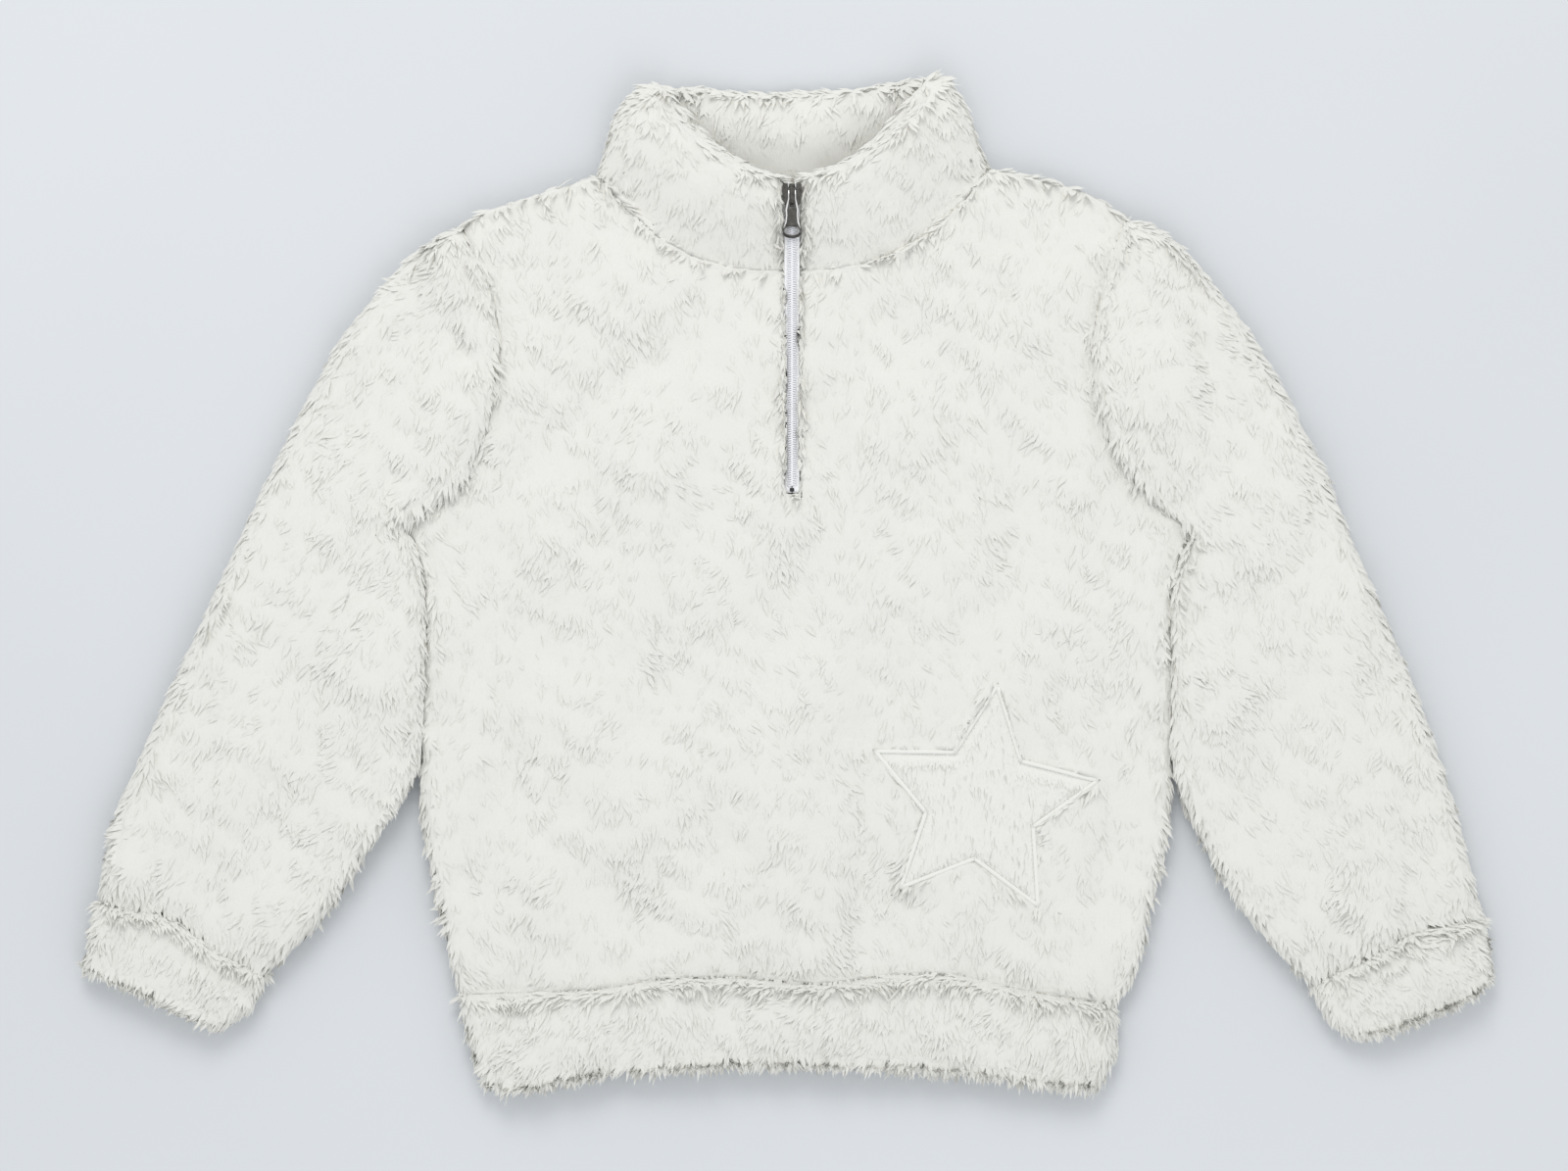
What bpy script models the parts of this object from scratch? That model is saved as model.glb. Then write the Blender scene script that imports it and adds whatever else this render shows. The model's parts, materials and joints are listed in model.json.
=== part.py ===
"""Half-zip sweatshirt in high-pile fleece, laid on its back with its sleeves spread.

Lengths are in millimetres and become metres in mesh_object. +X is to the right as the garment lies,
+Y runs towards the collar, and +Z is up from the surface. Left and right in the names are the
wearer's, so the right sleeve lies at -X. The solids are as thick as the cloth with its pile.
"""

import math
from collections import namedtuple

import bmesh
import bpy
import numpy as np
from mathutils import Matrix, Vector

MM = 0.001

# Cloth and seams
SEAM_GAP = 0.3  # between the front and back, and round the zip and the star
PLAN_GAP = 0.8  # between pieces sewn edge to edge, whose curved edges are faceted
BODY_SEAM_Z = 7.5  # height at which the front lies on the back
FRONT_WALL = 8.0
SLEEVE_SEAM_Z = 8.0
SLEEVE_HEIGHT = 22.0
RIM = 2.5  # thickness left at a panel's folded edge
EDGE_ROUND = 12.0  # how far in from a folded edge the cloth reaches its full thickness
GROOVE_DEPTH = 3.0  # how far the pile dips at a seam
GROOVE_WIDTH = 7.0
TUBE_WALL = 8.0  # cloth at the folded edges of sleeves, cuffs and hem band
TUBE_SLIT = 1.2  # half the height left open inside a flattened tube
INSET_REACH = 50.0  # inner points are drawn in along this stretch from a folded edge

# Body outline: corners
SHOULDER_RIGHT = (-194, 211)
SHOULDER_LEFT = (200, 216)
UNDERARM_RIGHT = (-226, 34)
UNDERARM_LEFT = (239, 29)
HEM_RIGHT = (-194, -244)
HEM_LEFT = (191, -250)

# Body outline: curves through (x, y) points
ARMHOLE_RIGHT = (
    SHOULDER_RIGHT, (-184, 189), (-173, 162), (-170, 135), (-174, 108), (-182, 80), (-194, 56),
    UNDERARM_RIGHT,
)
ARMHOLE_LEFT = (
    SHOULDER_LEFT, (188, 188), (182, 156), (178, 133), (183, 100), (192, 78), (206, 57),
    UNDERARM_LEFT,
)
SIDE_RIGHT = (
    UNDERARM_RIGHT, (-218, 12), (-215, -12), (-216, -60), (-217, -92), (-216, -140), (-206, -190),
    (-199, -225), HEM_RIGHT,
)
SIDE_LEFT = (
    UNDERARM_LEFT, (228, 12), (226, -20), (227, -68), (226, -96), (224, -143), (212, -198),
    (205, -231), HEM_LEFT,
)
HEM_SEAM = (
    HEM_RIGHT, (-162, -243), (-111, -241), (-77, -235), (-29, -234), (20, -238), (53, -233),
    (96, -232), (137, -241), HEM_LEFT,
)
NECK_RIGHT = (-113, 241)
NECK_LEFT = (119, 245)
SHOULDER_SEAM_RIGHT = (SHOULDER_RIGHT, (-182, 219), (-151, 229), NECK_RIGHT)
SHOULDER_SEAM_LEFT = (NECK_LEFT, (145, 240), (171, 233), (186, 226), SHOULDER_LEFT)

# Sleeve, cuff and hem band outlines
SLEEVE_PARTS_RIGHT = -88  # y at which the sleeve leaves the body's side
SLEEVE_PARTS_LEFT = -98
SLEEVE_OUTER_RIGHT = (
    SHOULDER_RIGHT, (-222, 194), (-246, 167), (-264, 144), (-299, 78), (-340, -10), (-365, -64),
    (-394, -128), (-403, -156), (-407, -186),
)
SLEEVE_OUTER_LEFT = (
    SHOULDER_LEFT, (230, 200), (259, 166), (276, 141), (310, 78), (339, 8), (371, -67), (397, -148),
    (409, -197),
)
SLEEVE_UNDER_RIGHT = ((-221, -112), (-234, -133), (-251, -160), (-282, -204), (-309, -230))
SLEEVE_UNDER_LEFT = ((230, -118), (241, -143), (258, -175), (276, -202), (309, -236))
CUFF_SEAM_RIGHT = ((-407, -186), (-391, -192), (-367, -196), (-335, -218), (-309, -230))
CUFF_SEAM_LEFT = (
    (409, -197), (400, -200), (384, -202), (364, -207), (346, -219), (329, -227), (309, -236),
)
CUFF_END_RIGHT = ((-416, -228), (-396, -234), (-360, -251), (-335, -263))
CUFF_END_LEFT = ((416, -233), (400, -244), (375, -255), (354, -263), (334, -268))
CUFF_OUTER_RIGHT = ((-407, -186), (-411, -202), (-416, -228))
CUFF_OUTER_LEFT = ((409, -197), (412, -214), (416, -233))
CUFF_UNDER_RIGHT = ((-309, -230), (-319, -252), (-335, -263))
CUFF_UNDER_LEFT = ((309, -236), (318, -256), (334, -268))
BAND_END = (
    (-178, -297), (-155, -298), (-128, -291), (-57, -284), (9, -283), (96, -287), (152, -294),
    (183, -298),
)
BAND_EDGE_RIGHT = (HEM_RIGHT, (-188, -270), (-178, -297))
BAND_EDGE_LEFT = (HEM_LEFT, (194, -265), (191, -283), (183, -298))

# Heights where tubes differ
CUFF_HEIGHT = 21.0
BAND_HEIGHT = 21.0

# Collar: corner positions up its height, and how far the front and back dip between the corners
CollarRow = namedtuple("CollarRow", "up right_x right_y left_x left_y front_dip front_power back_dip")
COLLAR_ROWS = (
    CollarRow(0.00, -113, 241, 119, 245, 59, 2.8, 5),
    CollarRow(0.35, -106, 260, 110, 263, 60, 2.5, 5),
    CollarRow(0.70, -98, 280, 102, 284, 60, 2.2, 6),
    CollarRow(1.00, -84, 293.2, 91, 297.2, 57.2, 2.0, 6),
)
COLLAR_FRONT_LOW = 12.3  # top of the front wall at the neck seam
COLLAR_FRONT_HIGH = 31.0  # top of the front wall at the rim
COLLAR_WALL = 11.0  # two layers of cloth
COLLAR_BACK_LOW = 7.2
COLLAR_SIDE_ROUND = 16.0
COLLAR_BACK_Y = 238.0  # the collar's back starts here, behind its front

# Zip
ZIP_X = 1.8
ZIP_LOW_Y = 56.0
TAPE_HALF_WIDTH = 4.25
TAPE_THICKNESS = 0.8
TAPE_DEPTH = 4.8  # from the top of the pile down to the tape's underside
COIL_HALF_WIDTH = 2.6
COIL_HEIGHT = 1.6
STOP_SIZE = (2.6, 2.2, 1.1)

# Slider and pull tab, in a frame whose origin is the pull's hinge axis
HINGE_Y = 231.0
PULL_REST_TILT = math.radians(2.0)
SLIDER_LENGTH = 12.6
SLIDER_HALF_WIDTH_TOP = 6.0
SLIDER_HALF_WIDTH_LOW = 4.8
SLIDER_TOP_Y = 2.6
SLIDER_PLATE = 1.4
FLANGE_DEPTH = 1.2
FLANGE_WIDTH = 1.2
AXIS_ABOVE_PLATE = 1.1
BRIDGE_HALF_WIDTH = 1.0
BRIDGE_TOP_Y = 2.3
BRIDGE_LOW_Y = -9.6
BRIDGE_LEG = 1.05
BRIDGE_WINDOW = 2.3
BRIDGE_ARCH = 1.0
PULL_THICKNESS = 1.1
PULL_EYE_HALF = 1.35
PULL_EYE_LOW_Y = -10.6
PULL_BAR = 0.6
PULL_HOLE_Y = -25.3
PULL_HOLE_HALF = (4.6, 2.7)

# Star
STAR_CENTRE = (114.0, -130.0)
STAR_RADIUS = 71.0
STAR_INNER = 34.5
STAR_TURN = math.radians(-7.5)
STAR_POCKET = 3.3  # the shorn star lies this far below the tips of the pile
STAR_SLAB = (3.0, 1.2)  # depths of its underside and its face

# Folds that show, as soft ridges (height above 0) and troughs (below 0) along a path
Fold = namedtuple("Fold", "path width height")
FOLDS = (
    Fold(((-203, -20), (-204, -120), (-195, -215)), 11, 3.0),
    Fold(((-177, -27), (-172, -73), (-174, -110), (-181, -177)), 10, -2.6),
    Fold(((212, -15), (212, -110), (202, -215)), 11, 3.0),
    Fold(((191, -3), (192, -90), (186, -200)), 10, -2.4),
    Fold(((47, -61), (46, -150), (44, -226)), 10, -3.6),
    Fold(((-10, -95), (-6, -222)), 36, 4.5),
    Fold(((-36, -204), (-29, -230)), 6, -3.0),
    Fold(((-49, 147), (-111, 116), (-142, 72)), 14, -2.2),
    Fold(((55, 153), (99, 129), (124, 99), (139, 66), (130, -3)), 13, -2.6),
    Fold(((-120, -36), (60, -40)), 16, -1.6),
    Fold(((-168, -96), (-160, -137), (-119, -177), (-61, -206)), 11, -2.4),
    Fold(((-75, 70), (-66, -5)), 38, 2.4),
    Fold(((72, 80), (74, -5)), 34, 2.2),
    Fold(((-120, -80), (-90, -140)), 26, 2.2),
    Fold(((110, -60), (150, -190)), 30, 1.8),
    Fold(((-200, 153), (-187, 126)), 7, -3.2),
    Fold(((-226, 158), (-244, 127)), 9, -2.2),
    Fold(((-231, 72), (-238, 52)), 9, -2.4),
    Fold(((-207, 112), (-214, 62)), 12, 2.6),
    Fold(((-290, 20), (-262, -10)), 12, -1.8),
    Fold(((-320, -40), (-330, -120)), 22, 2.2),
    Fold(((-339, -172), (-332, -192)), 6, -2.6),
    Fold(((-376, -170), (-374, -188)), 6, -2.0),
    Fold(((230, 160), (240, 147), (251, 116)), 7, -4.2),
    Fold(((222, 85), (239, 31)), 9, -2.6),
    Fold(((210, 128), (213, 72)), 13, 3.0),
    Fold(((292, 10), (268, -22)), 12, -1.8),
    Fold(((322, -50), (340, -130)), 22, 2.2),
    Fold(((360, -186), (364, -205)), 6, -2.8),
    Fold(((330, -200), (326, -220)), 6, -2.0),
)

# Where the grids have their rows and columns
EDGE_STEPS = (0.0, 1.5, 4.5, 9.0, 14.0)  # distances in from a folded edge
SEAM_STEPS = (0.0, 2.5, 6.5)  # distances in from a sewn edge
SIDE_ROWS = 9  # rows up the side below the point where the sleeve leaves it
TOUCH_ROWS = 3  # rows up the side where the sleeve lies against it
ARMHOLE_ROWS = 5
HEAD_STEPS = (0.0, 2.5, 6.5, 14.0, 24.0, 36.0)  # distances down the sleeve from its head
SLEEVE_ROWS = 8
EVEN_ROUNDS = 2  # the sleeve's rows are evened along themselves
EVEN_STEP = 0.6
EVEN_FROM_ROW = 5.0  # fully from this row on, less nearer the armhole
EVEN_LAST_ROWS = (0.6, 0.3, 0.0)
CUFF_COLUMNS = 4
SHOULDER_COLUMNS = 3
NECK_COLUMNS = 9

COLOURS = {
    "fleece": (0.86, 0.85, 0.82, 1.0),
    "shorn": (0.88, 0.87, 0.84, 1.0),
    "tape": (0.93, 0.93, 0.95, 1.0),
    "gunmetal": (0.10, 0.10, 0.10, 1.0),
    "black": (0.02, 0.02, 0.02, 1.0),
}


def round_rise(t):
    """Quarter circle from 0 at t = 0 up to 1 at t = 1 and beyond."""
    t = np.clip(t, 0.0, 1.0)
    return np.sqrt(np.maximum(0.0, 1.0 - (1.0 - t) ** 2))


def ease(t):
    t = np.clip(t, 0.0, 1.0)
    return t * t * (3.0 - 2.0 * t)


def smooth_curve(points, per_span=10):
    """A dense Catmull-Rom line through the points."""
    p = np.array(points, dtype=float)
    p = np.vstack([2 * p[0] - p[1], p, 2 * p[-1] - p[-2]])
    line = []
    for a, b, c, d in zip(p[:-3], p[1:-2], p[2:-1], p[3:]):
        for k in range(per_span):
            t = k / per_span
            line.append(0.5 * (2 * b + (c - a) * t + (2 * a - 5 * b + 4 * c - d) * t**2
                               + (3 * b - 3 * c + d - a) * t**3))
    line.append(p[-2])
    return np.array(line)


def lengths(line):
    steps = np.linalg.norm(np.diff(line, axis=0), axis=1)
    return np.concatenate([[0.0], np.cumsum(steps)])


def pick(line, fractions):
    """Points of a line at fractions of its length."""
    at = lengths(line)
    want = np.asarray(fractions, dtype=float) * at[-1]
    return np.stack([np.interp(want, at, line[:, k]) for k in range(line.shape[1])], axis=-1)


def distance(points, line):
    """Plan distance of each point from a line."""
    points = np.asarray(points, dtype=float)[..., None, :2]
    a = line[:-1, :2]
    ab = line[1:, :2] - a
    t = ((points - a) * ab).sum(-1) / np.maximum((ab**2).sum(-1), 1e-9)
    t = np.clip(t, 0.0, 1.0)[..., None]
    return np.linalg.norm(points - (a + t * ab), axis=-1).min(-1)


FOLD_LINES = [(smooth_curve(f.path), f.width, f.height) for f in FOLDS]


def folds(points):
    total = np.zeros(points.shape[:-1])
    for line, width, height in FOLD_LINES:
        total = total + height * np.exp(-(distance(points, line) / width) ** 2)
    return total


def edge_fractions(length, start, end, between):
    """Fractions that close up towards the ends of a line of that length."""
    low = [d / length for d in start]
    high = [1.0 - d / length for d in reversed(end)]
    inner = np.linspace(low[-1], high[0], between + 2)[1:-1]
    return np.array(low + list(inner) + high)


def coons(bottom, top, left, right, u, v):
    """Grid [row v, column u] that fills four boundary lines."""
    u = u[None, :, None]
    v = v[:, None, None]
    straight = (
        (1 - v) * ((1 - u) * bottom[0] + u * bottom[-1]) + v * ((1 - u) * top[0] + u * top[-1])
    )
    return (1 - v) * bottom[None] + v * top[None] + (1 - u) * left[:, None] + u * right[:, None] - straight


def material(name):
    made = bpy.data.materials.get(name)
    if made:
        return made
    made = bpy.data.materials.new(name)
    made.use_nodes = True
    shader = made.node_tree.nodes["Principled BSDF"]
    shader.inputs["Base Color"].default_value = COLOURS[name]
    metal = name == "gunmetal"
    shader.inputs["Metallic"].default_value = 0.9 if metal else 0.0
    shader.inputs["Roughness"].default_value = 0.35 if metal else 0.95
    made.diffuse_color = COLOURS[name]
    return made


def mesh_object(name, points, faces, slot, flatten=False):
    """Object from points in millimetres, with faces pointing out."""
    mesh = bpy.data.meshes.new(name)
    mesh.from_pydata([tuple(float(c) * MM for c in p) for p in points], [], faces)
    work = bmesh.new()
    work.from_mesh(mesh)
    bmesh.ops.delete(work, geom=[v for v in work.verts if not v.link_faces], context="VERTS")
    bmesh.ops.recalc_face_normals(work, faces=work.faces)
    if flatten:
        merge_flat_faces(work)
    bmesh.ops.triangulate(work, faces=[f for f in work.faces if len(f.verts) > 4])
    work.to_mesh(mesh)
    work.free()
    mesh.materials.append(material(slot))
    made = bpy.data.objects.new(name, mesh)
    bpy.context.collection.objects.link(made)
    return made


def merge_flat_faces(work):
    """Joins faces that share one level plane, so flat cloth costs few triangles."""
    level = [e for e in work.edges if len(e.link_faces) == 2
             and all(abs(f.normal.z) > 0.9999999 for f in e.link_faces)
             and abs(e.verts[0].co.z - e.verts[1].co.z) < 1e-7]
    bmesh.ops.dissolve_edges(work, edges=level, use_verts=True, use_face_split=False)


def cutter(made, target, operation):
    """Hides a helper solid and applies it to its target as a Boolean."""
    made.hide_render = True
    made.display_type = "WIRE"
    modifier = target.modifiers.new(made.name, "BOOLEAN")
    modifier.object = made
    modifier.operation = operation
    modifier.solver = "EXACT"


def grid_faces(rows, columns, first=0, across=None):
    """Triangles over a grid of points, all split along the same diagonal."""
    across = across or columns
    faces = []
    for j in range(rows - 1):
        for i in range(columns - 1):
            a = first + j * across + i
            b = a + 1
            c = a + across + 1
            d = a + across
            faces.append((a, b, c))
            faces.append((a, c, d))
    return faces


def panel_solid(name, plan, top, bottom, slot, flatten=True):
    """Closed solid between two height grids over one plan grid; a single bottom height is one level face."""
    rows, columns = plan.shape[:2]
    level = np.ndim(bottom) == 0
    upper = np.dstack([plan, top]).reshape(-1, 3)
    lower = np.dstack([plan, np.full(plan.shape[:2], bottom)]).reshape(-1, 3)
    faces = grid_faces(rows, columns)
    count = rows * columns
    if not level:
        faces += [(c + count, b + count, a + count) for a, b, c in faces]
    rim = [i for i in range(columns)]
    rim += [j * columns + columns - 1 for j in range(1, rows)]
    rim += [(rows - 1) * columns + i for i in range(columns - 2, -1, -1)]
    rim += [j * columns for j in range(rows - 2, 0, -1)]
    for a, b in zip(rim, rim[1:] + rim[:1]):
        faces.append((b, a, a + count, b + count))
    if level:
        faces.append([a + count for a in reversed(rim)])
    return mesh_object(name, np.vstack([upper, lower]), faces, slot, flatten)


def body_rows():
    """Fractions up each side: hem to underarm, then underarm to shoulder."""
    side = {}
    for key, line, parts_y in (("right", SIDE_RIGHT, SLEEVE_PARTS_RIGHT),
                               ("left", SIDE_LEFT, SLEEVE_PARTS_LEFT)):
        dense = smooth_curve(line)[::-1]
        split = np.interp(parts_y, dense[:, 1], lengths(dense)) / lengths(dense)[-1]
        low = edge_fractions(300.0, SEAM_STEPS, (0.0,), SIDE_ROWS) * split
        touch = split + (1 - split) * edge_fractions(128.0, EDGE_STEPS, SEAM_STEPS, TOUCH_ROWS)
        side[key] = pick(dense, np.concatenate([low, touch[1:]]))
    return side["right"], side["left"]


def armhole(points):
    """Armhole points from shoulder to underarm, closed up at both ends."""
    dense = smooth_curve(points)
    return pick(dense, edge_fractions(lengths(dense)[-1], EDGE_STEPS, EDGE_STEPS, ARMHOLE_ROWS))


def neck_point(across, row, front=True):
    """Point of the collar's plan: across runs from -1 (right) to 1 (left)."""
    t = (across + 1) / 2
    x = row.right_x + t * (row.left_x - row.right_x)
    y = row.right_y + t * (row.left_y - row.right_y)
    dip = row.front_dip if front else row.back_dip
    power = row.front_power if front else 2.0
    return np.stack([x, y - dip * (1 - np.abs(across) ** power)], axis=-1)


def neck_fractions(columns):
    width = NECK_LEFT[0] - NECK_RIGHT[0]
    return edge_fractions(width, EDGE_STEPS, EDGE_STEPS, columns)


def body_grid(front):
    """Plan grid of the front or back, hem row first."""
    right_side, left_side = body_rows()
    right = np.vstack([right_side, armhole(ARMHOLE_RIGHT)[::-1][1:]])
    left = np.vstack([left_side, armhole(ARMHOLE_LEFT)[::-1][1:]])
    neck_at = neck_fractions(NECK_COLUMNS)
    shoulder_right = smooth_curve(SHOULDER_SEAM_RIGHT)
    shoulder_left = smooth_curve(SHOULDER_SEAM_LEFT)
    near = edge_fractions(lengths(shoulder_right)[-1], EDGE_STEPS, (0.0,), SHOULDER_COLUMNS)
    far = edge_fractions(lengths(shoulder_left)[-1], (0.0,), EDGE_STEPS, SHOULDER_COLUMNS)
    top = np.vstack([
        pick(shoulder_right, near)[:-1],
        neck_point(2 * neck_at - 1, COLLAR_ROWS[0], front),
        pick(shoulder_left, far)[1:],
    ])
    u = (top[:, 0] - top[0, 0]) / (top[-1, 0] - top[0, 0])
    bottom = pick(smooth_curve(HEM_SEAM), u)
    v = (right[:, 1] - right[0, 1]) / (right[-1, 1] - right[0, 1])
    v_left = (left[:, 1] - left[0, 1]) / (left[-1, 1] - left[0, 1])
    return coons(bottom, top, right, left, u, (v + v_left) / 2)


FOLDED_LINES = [smooth_curve(p) for p in (SIDE_RIGHT, SIDE_LEFT, SHOULDER_SEAM_RIGHT, SHOULDER_SEAM_LEFT)]
SEWN_LINES = [smooth_curve(p) for p in (ARMHOLE_RIGHT, ARMHOLE_LEFT, HEM_SEAM)]
NECK_LINE = neck_point(np.linspace(-1, 1, 80), COLLAR_ROWS[0])


def front_top(plan):
    """Height of the front's face, with its folds and the grooves at its seams."""
    folded = np.minimum.reduce([distance(plan, line) for line in FOLDED_LINES])
    sewn = np.minimum.reduce([distance(plan, line) for line in SEWN_LINES + [NECK_LINE]])
    rise = round_rise(folded / EDGE_ROUND)
    lift = folds(plan) * rise * ease(sewn / 18.0)
    low = BODY_SEAM_Z + SEAM_GAP / 2
    groove = GROOVE_DEPTH * (1 - round_rise(sewn / GROOVE_WIDTH)) * rise
    return low + RIM + (FRONT_WALL - RIM) * rise - groove + lift


def make_front():
    plan = body_grid(front=True)
    top = front_top(plan)
    front = panel_solid("front", plan, top, BODY_SEAM_Z + SEAM_GAP / 2, "fleece", flatten=False)
    return front, plan, top


def make_back():
    plan = body_grid(front=False)
    folded = np.minimum.reduce([distance(plan, line) for line in FOLDED_LINES])
    high = BODY_SEAM_Z - SEAM_GAP / 2
    rise = round_rise(folded / EDGE_ROUND)
    bottom = (high - RIM) * (1 - rise)
    return panel_solid("back", plan, np.full(plan.shape[:2], high), bottom, "fleece")


def inset_rows(plan, wall, both_ends=True):
    """Each row's points drawn in by the wall from its first end, or from both."""
    inner = []
    for row in plan:
        at = lengths(row)
        want = at + wall * np.maximum(0.0, 1.0 - at / INSET_REACH)
        if both_ends:
            want = want - wall * np.maximum(0.0, 1.0 - (at[-1] - at) / INSET_REACH)
        inner.append(np.stack([np.interp(want, at, row[:, k]) for k in (0, 1)], axis=-1))
    return np.array(inner)


def wall_solid(name, outer, inner, ring):
    """Closed wall between an outer and an inner set of sections; a ring's sections close on themselves."""
    stations, count = outer.shape[:2]
    inside = stations * count
    spans = count if ring else count - 1
    faces = []
    for s in range(stations - 1):
        for k in range(spans):
            a = s * count + k
            b = s * count + (k + 1) % count
            c = b + count
            d = a + count
            faces += [(a, b, c), (a, c, d)]
            faces += [(c + inside, b + inside, a + inside), (d + inside, c + inside, a + inside)]
        for k in () if ring else (0, count - 1):
            a = s * count + k
            faces.append((a, a + count, a + count + inside, a + inside))
    for s in (0, stations - 1):
        for k in range(spans):
            a = s * count + k
            b = s * count + (k + 1) % count
            faces.append((a, b, b + inside, a + inside))
    points = np.vstack([outer.reshape(-1, 3), inner.reshape(-1, 3)])
    return mesh_object(name, points, faces, "fleece", flatten=True)


def folded_sections(plan, top, bottom):
    """Sections that run in along the bottom, round the fold at the first column and out along the top."""
    upper = np.dstack([plan, top])
    lower = np.dstack([plan, bottom])
    return np.concatenate([lower[:, ::-1], upper[:, 1:]], axis=1)


def closed_rings(plan_top, plan_bottom, top, bottom):
    """Rings from a top row and a bottom row that share their end points."""
    upper = np.dstack([plan_top, top])
    lower = np.dstack([plan_bottom, bottom])
    return np.concatenate([upper, lower[:, -2:0:-1]], axis=1)


def sewn_crown(plan, row, crown, lift, rise, seam_z):
    """Lets the top dip into the groove along a sewn row."""
    near = distance(plan, row)
    low_top = seam_z + RIM + (FRONT_WALL - GROOVE_DEPTH - RIM) * rise
    return low_top + (crown - low_top) * round_rise(near / EDGE_ROUND), lift * ease(near / 18.0)


def flat_tube(name, plan, height, seam_z):
    """Cuff or band: rows of the plan run across it, the first one along its seam."""
    folded = np.minimum(distance(plan, plan[:, 0]), distance(plan, plan[:, -1]))
    rise = round_rise(folded / EDGE_ROUND)
    crown = seam_z + (height - seam_z) * rise
    crown, lift = sewn_crown(plan, plan[0], crown, folds(plan) * rise, rise, seam_z)
    crown = seam_z + (crown - seam_z) * (0.45 + 0.55 * round_rise(distance(plan, plan[-1]) / EDGE_ROUND))
    crown[:, 0] = seam_z
    crown[:, -1] = seam_z
    inner_plan = inset_rows(plan, TUBE_WALL)
    inner_edges = np.minimum(distance(inner_plan, inner_plan[:, 0]), distance(inner_plan, inner_plan[:, -1]))
    slit = TUBE_SLIT * round_rise(inner_edges / (2 * TUBE_SLIT))
    outer = closed_rings(plan, plan, crown + lift, seam_z * (1 - rise))
    inner = closed_rings(inner_plan, inner_plan, seam_z + slit, seam_z - slit)
    return wall_solid(name, outer, inner, ring=True)


def move_off(points, towards, gap):
    """Moves a line's points by the gap along its own normal, on the side of a given point."""
    return points + gap * normals(points, towards)


def normals(points, towards):
    step = np.gradient(points, axis=0)
    normal = np.stack([-step[:, 1], step[:, 0]], axis=-1)
    normal /= np.linalg.norm(normal, axis=1)[:, None]
    return normal * np.sign(((np.asarray(towards) - points.mean(0)) * normal.mean(0)).sum())


def sleeve_plan(start, end, outer, under, along, across, away):
    """Grid whose lines leave the body square to the armhole and reach the cuff along the sleeve.

    Its rows are evened a little, so that lines leaving the hollow under the arm don't cross."""
    axis = end.mean(0) - start.mean(0)
    reach = np.linalg.norm(axis)
    leave = normals(start, away) * reach
    soft = np.pad(leave, ((2, 2), (0, 0)), mode="edge")
    leave = sum(soft[k:k + len(leave)] for k in range(5)) / 5
    u = along[:, None, None]
    plan = ((2 * u**3 - 3 * u**2 + 1) * start + (u**3 - 2 * u**2 + u) * leave
            + (3 * u**2 - 2 * u**3) * end + (u**3 - u**2) * axis)
    v = across[None, :, None]
    plan = plan + (1 - v) * (outer[:, None] - plan[:, :1]) + v * (under[:, None] - plan[:, -1:])
    share = np.clip(np.arange(len(plan)) / EVEN_FROM_ROW, 0.0, 1.0)
    share[-3:] = EVEN_LAST_ROWS
    for _ in range(EVEN_ROUNDS):
        middle = (plan[:, :-2] + plan[:, 2:]) / 2
        plan[:, 1:-1] += EVEN_STEP * share[:, None, None] * (middle - plan[:, 1:-1])
    return plan


def make_sleeve(name, hole, side_line, outer, under, parts_y, seam, away):
    """Sleeve folded along its outer edge and closed by its underarm seam. Returns its cuff edge."""
    touching = np.array([p for p in side_line[::-1] if p[1] > parts_y - 1.0])
    start = move_off(np.vstack([armhole(hole), touching[1:]]), away, PLAN_GAP)
    across = lengths(start) / lengths(start)[-1]
    seam_line = smooth_curve(seam)
    between = len(start) - 2 * len(EDGE_STEPS)
    end_at = edge_fractions(lengths(seam_line)[-1], EDGE_STEPS, EDGE_STEPS, between)
    end = pick(seam_line, end_at)
    along = edge_fractions(330.0, HEAD_STEPS, SEAM_STEPS, SLEEVE_ROWS)
    outer_edge = pick(smooth_curve((tuple(start[0]),) + outer[1:]), along)
    under_edge = pick(smooth_curve((tuple(start[-1]),) + under), along)
    plan = sleeve_plan(start, end, outer_edge, under_edge, along, (across + end_at) / 2, away)
    fold = distance(plan, plan[:, 0])
    sewn_side = distance(plan, np.vstack([touching, under_edge]))
    rise = round_rise(np.minimum(fold, sewn_side) / EDGE_ROUND)
    half_gap = SEAM_GAP / 2
    shut = np.where(sewn_side < fold, half_gap, 0.0)
    rim = np.where(sewn_side < fold, RIM, 0.0)
    z = SLEEVE_SEAM_Z
    crown = z + shut + rim + (SLEEVE_HEIGHT - z - shut - rim) * rise
    crown, lift = sewn_crown(plan, start[:len(armhole(hole))], crown, folds(plan) * rise, rise, z)
    crown, lift = sewn_crown(plan, plan[-1], crown, lift, rise, z)
    bottom = (z - shut - rim) * (1 - rise)
    crown[:, 0] = z
    inner_plan = inset_rows(plan, TUBE_WALL, both_ends=False)
    fold_in = round_rise(distance(inner_plan, inner_plan[:, 0]) / (2 * TUBE_SLIT))
    side_in = ease(distance(inner_plan, np.vstack([touching, under_edge])) / EDGE_ROUND)
    slit = (half_gap + (TUBE_SLIT - half_gap) * side_in) * fold_in
    outside = folded_sections(plan, crown + lift, bottom)
    inside = folded_sections(inner_plan, z + slit, z - slit)
    wall_solid(name, outside, inside, ring=False)
    return plan[-1]


def thinned(points):
    """Fewer points along a sewn edge, for a narrow cuff."""
    line = smooth_curve([tuple(p) for p in points])
    return pick(line, edge_fractions(lengths(line)[-1], EDGE_STEPS, EDGE_STEPS, CUFF_COLUMNS))


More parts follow.
